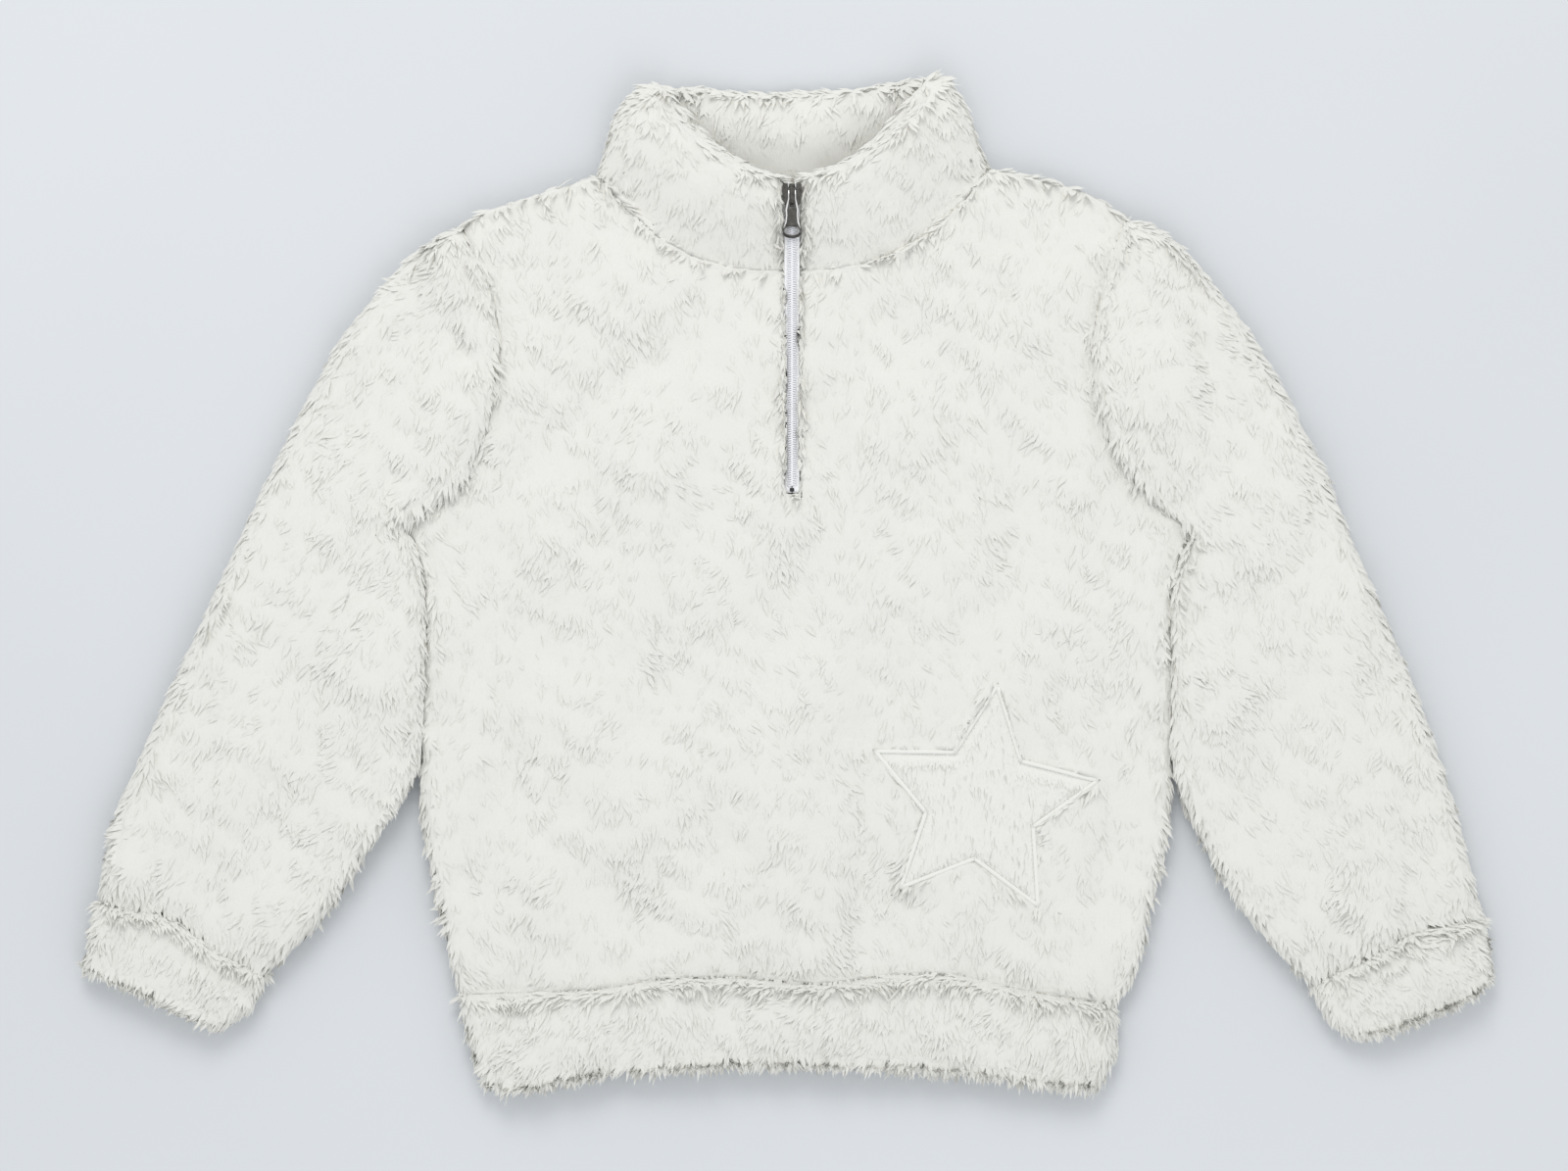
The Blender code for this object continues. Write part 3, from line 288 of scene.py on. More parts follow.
def pile_material(name, root, middle, tip, grain=0.5):
    """Soft white fibre: painted darker and warmer towards the root as shade, with a fine grain along the
    comb.
    """
    material, tree, shader = new_material(name)
    tone = add_node(tree, "ShaderNodeAttribute", attribute_name="tone")
    blotch = stretched_noise(tree, (1.0, 1.0, 1.0), 55.0, 2.0)
    shift = add_node(tree, "ShaderNodeMath", {1: BLOTCH_SHARE}, operation="MULTIPLY")
    added = add_node(tree, "ShaderNodeMath", operation="ADD")
    lowered = add_node(tree, "ShaderNodeMath", {1: BLOTCH_SHARE / 2}, operation="SUBTRACT")
    tree.links.new(blotch, shift.inputs[0])
    tree.links.new(tone.outputs["Fac"], added.inputs[0])
    tree.links.new(shift.outputs[0], added.inputs[1])
    tree.links.new(added.outputs[0], lowered.inputs[0])
    colour = ramp(tree, lowered.outputs[0], ((0.0, root), (1.0, tip), (0.45, middle)))
    tree.links.new(colour, shader.inputs["Base Color"])
    bump(tree, shader, stretched_noise(tree, (1.0, 0.22, 1.0), 1500.0, 4.0), grain, 0.0006)
    shader.inputs["Roughness"].default_value = 0.92
    shader.inputs["Specular IOR Level"].default_value = 0.12
    shader.inputs["Sheen Weight"].default_value = 0.25
    shader.inputs["Sheen Roughness"].default_value = 0.6
    return material


def woven_material(name, dark, light):
    """A fine ribbed weave for the zip's tape."""
    material, tree, shader = new_material(name)
    where = add_node(tree, "ShaderNodeTexCoord")
    across = add_node(tree, "ShaderNodeTexWave", {"Scale": 620.0, "Distortion": 0.6}, bands_direction="Y")
    along = add_node(tree, "ShaderNodeTexWave", {"Scale": 420.0, "Distortion": 0.4}, bands_direction="X")
    both = add_node(tree, "ShaderNodeMath", operation="MULTIPLY")
    for wave in (across, along):
        tree.links.new(where.outputs["Object"], wave.inputs["Vector"])
    tree.links.new(across.outputs["Fac"], both.inputs[0])
    tree.links.new(along.outputs["Fac"], both.inputs[1])
    colour = ramp(tree, both.outputs[0], ((0.0, dark), (1.0, light)))
    tree.links.new(colour, shader.inputs["Base Color"])
    bump(tree, shader, both.outputs[0], 0.25, 0.0003)
    shader.inputs["Roughness"].default_value = 0.7
    return material


def nylon_material(name, colour_low, colour_high):
    material, tree, shader = new_material(name)
    colour = ramp(tree, stretched_noise(tree, (1, 1, 1), 900.0), ((0.3, colour_low), (0.7, colour_high)))
    tree.links.new(colour, shader.inputs["Base Color"])
    shader.inputs["Roughness"].default_value = 0.38
    return material


def metal_material(name, dark, light, rough):
    """Plated metal with faint blotches and small scratches along its length."""
    material, tree, shader = new_material(name)
    blotch = stretched_noise(tree, (1, 1, 1), 420.0, 5.0)
    colour = ramp(tree, blotch, ((0.35, dark), (0.7, light)))
    tree.links.new(colour, shader.inputs["Base Color"])
    worn = add_node(tree, "ShaderNodeMapRange", {"To Min": rough - 0.06, "To Max": rough + 0.12})
    tree.links.new(stretched_noise(tree, (1.0, 0.1, 1.0), 2600.0, 4.0), worn.inputs["Value"])
    tree.links.new(worn.outputs["Result"], shader.inputs["Roughness"])
    bump(tree, shader, blotch, 0.08, 0.0002)
    shader.inputs["Metallic"].default_value = 1.0
    return material


def floor_material():
    material, tree, shader = new_material("floor")
    colour = ramp(tree, stretched_noise(tree, (1, 1, 1), 1.6, 2.0),
                  ((0.3, FLOOR_DARK), (0.7, FLOOR_LIGHT)))
    tree.links.new(colour, shader.inputs["Base Color"])
    shader.inputs["Roughness"].default_value = 0.85
    shader.inputs["Specular IOR Level"].default_value = 0.1
    return material


FLOOR_DARK = (0.715, 0.735, 0.755)
FLOOR_LIGHT = (0.745, 0.765, 0.785)

# The root colours are painted shade: they colour the low tones of lock roots, the hollow above the slider,
# the star's channel and the shadow strokes
FLEECE = pile_material(
    "fleece_pile", (0.62, 0.60, 0.545), (0.832, 0.822, 0.768), (0.853, 0.846, 0.796), 0.3
)
GROUND = pile_material(
    "fleece_ground", (0.52, 0.50, 0.44), (0.83, 0.82, 0.77), (0.85, 0.843, 0.795), 0.5
)
SHORN = pile_material(
    "shorn_pile", (0.66, 0.645, 0.60), (0.855, 0.845, 0.795), (0.88, 0.873, 0.823), 0.3
)
THREAD = nylon_material("sewing_thread", (0.83, 0.825, 0.80), (0.90, 0.895, 0.87))
TAPE = woven_material("zip_tape_weave", (0.955, 0.955, 0.975), (0.98, 0.98, 0.99))
COIL = nylon_material("zip_coil_nylon", (0.94, 0.94, 0.97), (0.97, 0.97, 0.99))
SLIDER_METAL = metal_material("slider_metal", (0.075, 0.07, 0.064), (0.16, 0.155, 0.14), 0.34)
PULL_METAL = metal_material("pull_metal", (0.86, 0.85, 0.83), (0.96, 0.955, 0.94), 0.3)
PANEL_METAL = metal_material("pull_panel_metal", (0.095, 0.09, 0.082), (0.15, 0.145, 0.135), 0.46)
# painted reflection: the grip's end bow painted near-black for the dark reflection seen in it
PULL_END_PAINTED_REFLECTION = metal_material("pull_end_painted_reflection", (0.03, 0.03, 0.028), (0.08, 0.078, 0.072), 0.3)
DARK_METAL = metal_material("pull_dark_metal", (0.10, 0.095, 0.088), (0.18, 0.175, 0.165), 0.35)
STOP_BLACK = nylon_material("stop_black", (0.012, 0.012, 0.013), (0.03, 0.03, 0.032))


# Cloth shells on their solids' forms


def frame_mesh(node):
    """A node's mesh from the frame, joined along its edges and cut into triangles."""
    bm = bmesh.new()
    bm.from_mesh(frame["nodes"][node].data)
    bmesh.ops.remove_doubles(bm, verts=bm.verts, dist=1e-6)
    bmesh.ops.triangulate(bm, faces=bm.faces)
    return bm


def arrays(bm):
    """A mesh's points in mm, and its faces."""
    bm.verts.index_update()
    points = np.array([v.co for v in bm.verts]) / MM
    faces = np.array([[v.index for v in f.verts] for f in bm.faces])
    return points, faces


def refined(node, longest, merge=0.35):
    """The node's mesh, cut until no edge is longer; hidden undersides stay coarser."""
    bm = frame_mesh(node)
    bmesh.ops.dissolve_degenerate(bm, dist=SLIVER * MM, edges=bm.edges)
    bmesh.ops.triangulate(bm, faces=bm.faces)
    for _ in range(CUT_ROUNDS):
        bm.normal_update()
        long_edges = []
        for e in bm.edges:
            under = all(f.normal.z < -0.7 for f in e.link_faces)
            if e.calc_length() > longest * MM * (UNDER_LONGER if under else 1.0):
                long_edges.append(e)
        if not long_edges:
            break
        bmesh.ops.subdivide_edges(bm, edges=long_edges, cuts=1)
        bmesh.ops.triangulate(bm, faces=[f for f in bm.faces if len(f.verts) > 3])
        bmesh.ops.remove_doubles(bm, verts=bm.verts, dist=merge * MM)
    return bm


def point_normals(points, faces):
    """A smooth normal at each point, weighted by the areas of its faces."""
    corner = points[faces]
    area = np.cross(corner[:, 1] - corner[:, 0], corner[:, 2] - corner[:, 0])
    total = np.zeros_like(points)
    for k in range(3):
        np.add.at(total, faces[:, k], area)
    return unit(total)


def smooth_heights(points, faces, rounds):
    """Evens out the heights of neighbouring points and leaves the plan as it is."""
    edges = np.vstack([faces[:, [0, 1]], faces[:, [1, 2]], faces[:, [2, 0]]])
    edges = np.unique(np.sort(edges, axis=1), axis=0)
    degree = np.bincount(edges.ravel(), minlength=len(points))
    z = points[:, 2].copy()
    for _ in range(rounds):
        total = np.zeros(len(points))
        np.add.at(total, edges[:, 0], z[edges[:, 1]])
        np.add.at(total, edges[:, 1], z[edges[:, 0]])
        z = 0.5 * z + 0.5 * total / degree
    points[:, 2] = z
    return points


def cloth_tree():
    """All the cloth solids in one search tree, to tell what faces another piece."""
    points, faces, start = [], [], 0
    for node in (*CLOTH_NODES, "star_patch", "zip_tape_right", "zip_tape_left"):
        bm = frame_mesh(node)
        p, f = arrays(bm)
        bm.free()
        points.append(p)
        faces.append(f + start)
        start += len(p)
    return BVHTree.FromPolygons(np.vstack(points).tolist(), np.vstack(faces).tolist())


CLOTH = cloth_tree()


def room_ahead(points, directions, reach, start=0.4):
    """Distance to the nearest cloth along each direction, up to reach."""
    found = np.full(len(points), reach)
    for k, (p, d) in enumerate(zip(points, directions)):
        hit = CLOTH.ray_cast(Vector(p + start * d), Vector(d), reach)
        if hit[0] is not None:
            found[k] = min(reach, hit[3] + start)
    return found


def closing(points, out):
    """How far each point at a seam moves sideways, so that no gap shows between the sewn edges."""
    level = out * (1, 1, 0)
    beside = np.linalg.norm(level, axis=1) > 0.4
    way = unit(level[beside])
    gap = room_ahead(points[beside] - (0, 0, SEAM_LOOK_DOWN), way, SEAM_REACH, SEAM_START)
    move = np.zeros_like(points)
    move[beside] = way * np.where(gap < SEAM_REACH, 0.5 * gap + SEAM_OVERLAP, 0.0)[:, None]
    return move


def fold_heights(points):
    """Height added by the folds at each point's place."""
    total = np.zeros(len(points))
    for n, fold in enumerate(FOLDS):
        d, along = distance(points, fold.path)
        ends = ease(along / 0.25) * ease((1 - along) / 0.25)
        wobble = 1 + 0.3 * np.sin(along * 9 + n)
        total += fold.height * np.exp(-((d / (fold.width * wobble)) ** 2) * 1.4) * (0.25 + 0.75 * ends)
    return total


BROAD = wave_field(3, 62.0)
LUMPS = wave_field(5, 21.0)
SMALL = wave_field(7, 9.0)


def cloth_around(points, out):
    """Room ahead of each point, room seen from above too, and the thickness of cloth behind it."""
    ahead = room_ahead(points, out, OPEN_REACH)
    up = np.tile((0.0, 0.0, 1.0), (len(points), 1))
    sky = room_ahead(points, up, OPEN_REACH)
    seen = np.where(out[:, 2] > UP_FACING, np.maximum(ahead, sky), ahead)
    return ahead, seen, room_ahead(points, -out, WALL_REACH)


def settled_normals(points, faces, out, weak):
    """Normals after the heights are evened out; those that face up take the new ones."""
    settled = point_normals(points, faces)
    settled[weak] = (0, 0, 1)
    upright = unit(settled * (1, 1, 0) + np.abs(settled) * (0, 0, 1))
    return np.where((out[:, 2] > 0.3)[:, None], upright, out)


def drawn_in(node, points, free, wall):
    """How far each point of the ground lies in from its solid: less at seams and round the star."""
    inset = free * np.minimum(SHELL_DEPTH, 0.4 * wall)
    if node == "front":
        inset *= 1 - 0.85 * np.exp(-((distance(points, STAR_LINE)[0] / 3.5) ** 2))
    return inset


def make_shell(node, coat):
    """The knitted ground of one piece: its solid's form, drawn in under the pile, with folds."""
    bm = refined(node, coat.edge)
    points, faces = arrays(bm)
    bm.free()
    out = point_normals(points, faces)
    ahead, seen, wall = cloth_around(points, out)
    rim = (out[:, 2] > UP_FACING) & (ahead < COVERED)
    free = ease(ahead / OPEN_REACH)
    weak = np.linalg.norm(out, axis=1) < 0.5
    out[weak] = (0, 0, 1)
    sewn = closing(points, out)
    points = smooth_heights(points, faces, SMOOTH_ROUNDS)
    out = settled_normals(points, faces, out, weak)
    inset = drawn_in(node, points, free, wall)
    inset[np.abs(sewn).sum(1) > 0] = 0.0
    upper = ease((out[:, 2] - 0.2) / 0.5) * free * np.clip(wall / FULL_WALL, 0.2, 1.0)
    relief = 1.0 * BROAD(points) + 0.28 * LUMPS(points) + 0.08 * SMALL(points)
    points = points - out * inset[:, None] + sewn
    points[:, 2] += upper * (fold_heights(points) + relief)
    points[:, 2] = np.maximum(points[:, 2], LOWEST_GROUND)
    # painted shade: the ground darker in the hollow above the slider
    tone = np.clip(0.66 + 0.03 * LUMPS(points) - 1.2 * recess(points), 0, 1)
    piece = mesh_piece(node + "_cloth", points, faces, GROUND, tone=tone)
    toward = out[:, :2] @ np.array(coat.comb) > 0.1
    crowd = np.where(rim, np.where(toward, RIM_CROWD, BACK_RIM_CROWD), 1.0)
    crowd = crowd * (1 + RECESS_CROWD * recess(points))
    return piece, points, faces, np.where(seen > COVERED, crowd, 0.0)


# Pile


def star_outline(radius_add=0.0):
    """The star's ten corners in plan, moved out by radius_add; the tips move further."""
    corners = []
    for k in range(10):
        r = (STAR_RADIUS if k % 2 == 0 else STAR_INNER) + radius_add * (1.0 if k % 2 else 1.6)
        a = math.pi / 2 + STAR_TURN - k * math.pi / 5
        corners.append((STAR_CENTRE[0] + r * math.cos(a), STAR_CENTRE[1] + r * math.sin(a)))
    return np.array(corners)


def inside(points, outline):
    """Whether each point lies within the outline, in plan."""
    x, y = points[:, 0], points[:, 1]
    crossed = np.zeros(len(points), bool)
    for (x0, y0), (x1, y1) in zip(outline, np.roll(outline, -1, axis=0)):
        spans = (y0 > y) != (y1 > y)
        with np.errstate(divide="ignore", invalid="ignore"):
            crossed ^= spans & (x < (x1 - x0) * (y - y0) / (y1 - y0) + x0)
    return crossed


STAR_LINE = np.vstack([star_outline(), star_outline()[:1]])
STAR_INSIDE = star_outline(-0.3)
STAR_COVERED = star_outline(-1.8)


def recess(points):
    """How near each point is to the hollow where the collar's pile parts above the slider; the pile is
    painted darker there as shade.
    """
    off = (points[:, :2] - (ZIP_X, ZIP_TOP_Y + RECESS_ABOVE)) / RECESS_SIZE
    return np.exp(-((off**2).sum(1) ** 1.5))


def over_bare(points, tip):
    """Whether a point lies over the zip or the star, which only the tips of the pile may overlap."""
    strip = np.abs(points[:, 0] - ZIP_X) < TAPE_HALF_WIDTH - (TIP_OVERLAP if tip else ROOT_OVERLAP)
    strip &= (points[:, 1] > ZIP_LOW_Y - 3.0) & (points[:, 1] < ZIP_TOP_Y)
    return (strip | inside(points, STAR_COVERED if tip else STAR_INSIDE)) & (points[:, 2] > 5.0)


def partings(points, seed, comb):
    """Short curved lines where the pile parts, as a search tree over their points."""
    rng = np.random.default_rng(seed)
    low, high = points.min(0), points.max(0)
    count = int((high[0] - low[0]) * (high[1] - low[1]) / SPLIT_SPACING**2)
    tree = KDTree(count * PARTING_POINTS)
    lean = math.atan2(comb[1], comb[0])
    for n in range(count):
        x, y = rng.uniform(low[0], high[0]), rng.uniform(low[1], high[1])
        angle = lean + rng.normal(0, 0.45)
        bend = rng.normal(0, 0.09)
        length = rng.uniform(5.0, 13.0)
        for k in range(PARTING_POINTS):
            tree.insert((x, y, 0.0), n * PARTING_POINTS + k)
            angle += bend
            x += math.cos(angle) * length / PARTING_POINTS
            y += math.sin(angle) * length / PARTING_POINTS
    tree.balance()
    return tree


def surface_samples(points, faces, shown, count, rng):
    """Random places on the shell, with their smooth normals and how crowded the pile is there."""
    out = point_normals(points, faces)
    corner = points[faces]
    area = np.linalg.norm(np.cross(corner[:, 1] - corner[:, 0], corner[:, 2] - corner[:, 0]), axis=1)
    facing = out[faces].mean(1)[:, 2]
    share = area * np.where(facing > 0.3, 1.0, np.where(facing > -0.5, 2.0, 0.30))
    share = share * shown[faces].mean(1)
    chosen = rng.choice(len(faces), size=count, p=share / share.sum())
    u, v = rng.random(count), rng.random(count)
    flip = u + v > 1
    u[flip], v[flip] = 1 - u[flip], 1 - v[flip]
    weights = np.stack([1 - u - v, u, v], axis=1)[:, :, None]
    crowd = (shown[faces[chosen]] * weights[:, :, 0]).sum(1)
    return (corner[chosen] * weights).sum(1), unit((out[faces[chosen]] * weights).sum(1)), crowd


def lock_faces(count, rows, per):
    """The faces of all the locks: two strips along each, and two triangles at its tip."""
    quads = []
    for k in range(rows - 2):
        a = 3 * k
        quads += [(a, a + 1, a + 4, a + 3), (a + 1, a + 2, a + 5, a + 4)]
    a = 3 * (rows - 2)
    tips = [(a, a + 1, a + 3), (a + 1, a + 2, a + 3)]
    start = np.arange(count)[:, None, None] * per
    quads = (start + np.array(quads)[None]).reshape(-1, 4)
    tips = (start + np.array(tips)[None]).reshape(-1, 3)
    return [*quads.tolist(), *tips.tolist()]


def lock_mesh(root, out, first, last, length, width, tone):
    """Curved, crowned, pointed locks: their points, faces, tone and normals."""
    side = unit(np.cross(first, out) + 1e-6)
    made, tones, shading = [], [], []
    for s, wide in LOCK_ROWS:
        centre = root + length[:, None] * (first * s + (last - first) * s * s / 2)
        heading = unit(first + (last - first) * s)
        crown = np.cross(side, heading)
        half = (width * wide / 2)[:, None]
        # painted shade: darker towards the lock's root, lighter at its tip
        shade = tone + SHADE_ALONG * (s - 0.5)
        level = unit(SOFT_SHADING * out + (1 - SOFT_SHADING) * crown)
        if wide > 0:
            made += [centre - side * half, centre + crown * half * LOCK_CROWN, centre + side * half]
            # painted shade: the lock's two sides a little darker than its crown
            tones += [shade - 0.03, shade + 0.02, shade - 0.03]
            tilt = side * (1 - SOFT_SHADING)
            shading += [unit(level - tilt), level, unit(level + tilt)]
        else:
            made.append(centre)
            tones.append(shade)
            shading.append(level)
    points = np.stack(made, axis=1)
    faces = lock_faces(len(root), len(LOCK_ROWS), points.shape[1])
    shade = np.clip(np.stack(tones, 1).ravel(), 0, 1)
    return points.reshape(-1, 3), faces, shade, np.stack(shading, 1).reshape(-1, 3)


SWIRL = wave_field(11, 70.0)
CLUMP = wave_field(13, 15.0)
LIFT = wave_field(17, 30.0)
LOCK_ROWS = ((0.0, 0.7), (0.5, 1.0), (1.0, 0.0))  # place along a lock, and its share of the width


def comb_over(node, coat, root, out, seam, rng):
    """The way that each lock is combed along the cloth, leaning out over the edges."""
    count = len(root)
    comb = np.array([*coat.comb, 0.0])
    turn = 0.30 * SWIRL(root) + 0.26 * CLUMP(root) + rng.normal(0, 0.20, count)
    c, s = np.cos(turn), np.sin(turn)
    way = np.stack([c * comb[0] - s * comb[1], s * comb[0] + c * comb[1], 0 * c], axis=1)
    against = (out @ comb < -0.25 * np.linalg.norm(out[:, :2], axis=1)) & (node != "collar")
    way += np.where(against, 0.0, EDGE_LEAN)[:, None] * out * (1, 1, 0)
    way[:, 0] += 0.25 * (ZIP_X - root[:, 0]) * recess(root)
    flat = unit(way - out * (way * out).sum(1)[:, None])
    falls = flat[:, 2] < 0
    hang = np.where((out[:, 2] > 0.05) & falls & (node != "collar"), 0.3, 1.0)
    hang = np.where(seam & falls, 0.0, hang)
    return unit(flat * np.stack([np.ones(count), np.ones(count), hang], axis=1))


def lock_bends(coat, root, out, flat, rng):
    """How each lock faces, and the directions in which it starts and ends."""
    count = len(root)
    edge = 1 - np.abs(out[:, 2])
    below = out[:, 2] < -0.5
    roll = np.where(below, 0.0, 1.8 * edge * rng.uniform(0.35, 1.0, count))
    face = unit(out + np.stack([0 * roll, 0 * roll, roll], axis=1))
    raised = rng.random(count) ** 6
    lift = coat.lift * (0.42 + 1.0 * raised) + 0.04 * LIFT(root) + 0.25 * edge
    droop = 0.4 * lift - 0.13 + 0.18 * edge
    first = unit(flat + out * np.where(below, 0.10, lift)[:, None])
    last = unit(flat + out * np.where(below, -0.05, droop)[:, None])
    return face, first, last


def lock_sizes(coat, root, out, seam, rng):
    """Each lock's length, width and tone, with painted shade and painted light. A few are thin and painted
    dark as shadow lines.
    """
    count = len(root)
    edge = 1 - np.abs(out[:, 2])
    longer = np.where(seam, SEAM_LONGER, 1.0)
    length = coat.length * np.clip(rng.normal(1.0, 0.22, count), 0.5, 1.6) * longer
    width = coat.width * np.clip(rng.normal(1.0, 0.2, count), 0.6, 1.5)
    # painted shade: locks darker in the hollow above the slider
    tone = 0.70 + 0.03 * LUMPS(root) + rng.normal(0, 0.04, count) - 1.0 * recess(root)
    # painted light: locks over seams and steep edges painted lighter, against their shade
    tone += np.where(seam | (edge > 0.5), EDGE_PAINTED_LIGHT, 0.0)
    # painted shadow: a few thin locks painted dark as shadow lines between clumps
    stroke = (rng.random(count) < PAINTED_SHADOW_STROKES * (1 + CLUMP(root))) & (out[:, 2] > 0.6)
    width = np.where(stroke, rng.uniform(0.35, 0.65, count), width)
    tone = np.where(stroke, rng.uniform(0.12, 0.38, count), tone)
    return length, width, tone


def kept_clear(root, first, last, length):
    """Locks shortened where they reach over the zip or the star, and which of them stay."""
    for _ in range(SHORTENINGS):
        middle = root + length[:, None] * (first * 0.5 + (last - first) * 0.125)
        tip = root + length[:, None] * (first + (last - first) / 2)
        over = over_bare(middle, False) | over_bare(tip, True)
        length = np.where(over, length * SHORTER, length)
    return length, middle, tip, ~(over_bare(root, False) | over)


def parted(tree, root, middle, tip):
    """Whether a lock would lie across a parting, at a quarter or three quarters of its length."""
    for p in (root * 0.5 + middle * 0.5, middle * 0.5 + tip * 0.5):
        if tree.find((p[0], p[1], 0.0))[2] < STRIPE_KEEP_CLEAR:
            return True
    return False


def make_pile(node, coat, points, faces, shown, seed):
    """The locks of one piece."""
    rng = np.random.default_rng(seed)
    drawn = int(coat.locks * SPARE_LOCKS)
    root, out, crowd = surface_samples(points, faces, shown, drawn, rng)
    seam = crowd > SEAM_CROWD
    flat = comb_over(node, coat, root, out, seam, rng)
    face, first, last = lock_bends(coat, root, out, flat, rng)
    length, width, tone = lock_sizes(coat, root, out, seam, rng)
    length, middle, tip, keep = kept_clear(root, first, last, length)
    tree = partings(points, seed + 100, coat.comb)
    for k in np.nonzero(keep & (out[:, 2] > 0.4))[0]:
        keep[k] = not parted(tree, root[k], middle[k], tip[k])
    chosen = np.nonzero(keep)[0][: coat.locks]
    pick = [a[chosen] for a in (root - out * ROOT_DEPTH, face, first, last, length, width, tone)]
    p, f, tone, normals = lock_mesh(*pick)
    p[:, 2] = np.maximum(p[:, 2], LOWEST_LOCK)
    return mesh_piece(node + "_pile", p, f, FLEECE, tone=tone, normals=normals)


def dress(node, seed):
    """A cloth node's shell, which stands for it, and its pile."""
    coat = COATS[node]
    shell, points, faces, shown = make_shell(node, coat)
    pile = make_pile(node, coat, points, faces, shown, seed)
    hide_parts(node)
    return shell, pile


dressed = {node: dress(node, 20 + n) for n, node in enumerate(CLOTH_NODES)}


# Star of shorn pile with its stitched outline


STAR_WELT = 1.25  # half width of the rounded welt sewn along the star's outline
STAR_STITCH = 2.7  # one stitch with the gap after it
STAR_LOCKS = 9000
STAR_PAINTED_SHADOW_STROKES = 0.035  # the share of its locks that are long, thin and painted dark as shadow lines in the pile's partings


def on_surface(tree, x, y, rise):
    """A point that lies on the star's shell, or rise above it."""
    hit = tree.ray_cast(Vector((x, y, 60.0)), Vector((0, 0, -1)))
    return (x, y, (hit[0].z if hit[0] else 14.0) + rise)


def star_shell():
    """The shorn field, a little crowned, with a channel inside its welt, painted darker as shade."""
    bm = refined("star_patch", 3.0, 0.01)
    points, faces = arrays(bm)
    bm.free()
    out = point_normals(points, faces)
    far, _ = distance(points, STAR_LINE)
    upper = out[:, 2] > 0.4
    channel = np.exp(-(((far - 3.2) / 1.1) ** 2))
    points[upper, 2] += (1.0 * ease(far / 9.0) - 0.5 * channel + 0.12 * LUMPS(points))[upper]
    # painted shade: the ground darker in the channel inside the welt
    tone = np.clip(0.66 - 0.25 * channel, 0, 1)
    return mesh_piece("star_cloth", points, faces, SHORN, tone=tone), points, faces


def star_grain(points, faces):
    """Short pile combed straight down the star, with a few thin locks painted dark as shadow lines in its
    partings.
    """
    rng = np.random.default_rng(77)
    root, out, _ = surface_samples(points, faces, np.ones(len(points)), STAR_LOCKS, rng)
    far, _ = distance(root, STAR_LINE)
    keep = (out[:, 2] > 0.5) & (far > 3.0)
    root, out = root[keep], out[keep]
    count = len(root)
    turn = 0.14 * CLUMP(root) + rng.normal(0, 0.10, count)
    way = np.stack([np.sin(turn), -np.cos(turn), 0 * turn], axis=1)
    flat = unit(way - out * (way * out).sum(1)[:, None])
    parting = rng.random(count) < STAR_PAINTED_SHADOW_STROKES
    long = rng.uniform(5.0, 9.0, count)
    length = np.where(parting, long, np.clip(rng.normal(5.0, 0.9, count), 3.0, 7.0))
    thin = rng.uniform(0.35, 0.6, count)
    width = np.where(parting, thin, np.clip(rng.normal(1.3, 0.2, count), 0.8, 1.8))
    # painted shadow: the parting locks painted dark as shadow lines
    tone = np.where(parting, 0.12, 0.68 + rng.normal(0, 0.04, count))
    lift = np.where(parting, 0.24, 0.17)[:, None]
    first = unit(flat + out * lift)
    last = unit(flat - out * 0.08)
    p, f, t, n = lock_mesh(root - out * 0.15, out, first, last, length, width, tone)
    return mesh_piece("star_pile", p, f, SHORN, tone=t, normals=n)


def star_welt(tree):
    """The rounded welt round the outline, one bar for each straight side."""
    bars = []
    line = np.vstack([star_outline(-0.9), star_outline(-0.9)[:1]])
    for a, b in zip(line[:-1], line[1:]):
        path = []
        for t in np.linspace(-0.012, 1.012, 15):
            x, y = a + (b - a) * t
            path.append(on_surface(tree, x, y, 0.35 + 0.08 * math.sin(9 * t + a[0])))
        bars.append(sweep(path, [STAR_WELT] * len(path), 10, 0.62))
    points, faces = joined(bars)
    return mesh_piece("star_welt", points, faces, SHORN, tone=np.full(len(points), 0.9))


def star_stitches(tree):
    """A row of stitches in the channel beside the welt."""
    stitches = []
    line = np.vstack([star_outline(-3.0), star_outline(-3.0)[:1]])
    for a, b in zip(line[:-1], line[1:]):
        steps = max(2, round(np.linalg.norm(b - a) / STAR_STITCH))
        for k in range(steps):
            path = []
            for t, rise in ((0.08, -0.15), (0.3, 0.25), (0.7, 0.25), (0.92, -0.15)):
                x, y = a + (b - a) * (k + t) / steps
                path.append(on_surface(tree, x, y, rise))
            stitches.append(sweep(path, (0.16, 0.26, 0.26, 0.16), 6))
    return mesh_piece("star_stitches", *joined(stitches), THREAD)


def make_star():
    shell, points, faces = star_shell()
    tree = BVHTree.FromPolygons(points.tolist(), faces.tolist())
    pieces = [shell, star_grain(points, faces), star_welt(tree), star_stitches(tree)]
    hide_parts("star_patch")
    return pieces


star = make_star()


# Zip


def tape_line():
    """Height of the tape's face along the zip, from the frame."""
    points = np.array([v.co for v in frame["nodes"]["zip_tape_right"].data.vertices]) / MM
    outer = points[points[:, 0] < points[:, 0].min() + 0.2]
    y = np.unique(outer[:, 1].round(2))
    z = [outer[np.abs(outer[:, 1] - v) < 0.02][:, 2].max() for v in y]
    return y, np.array(z)


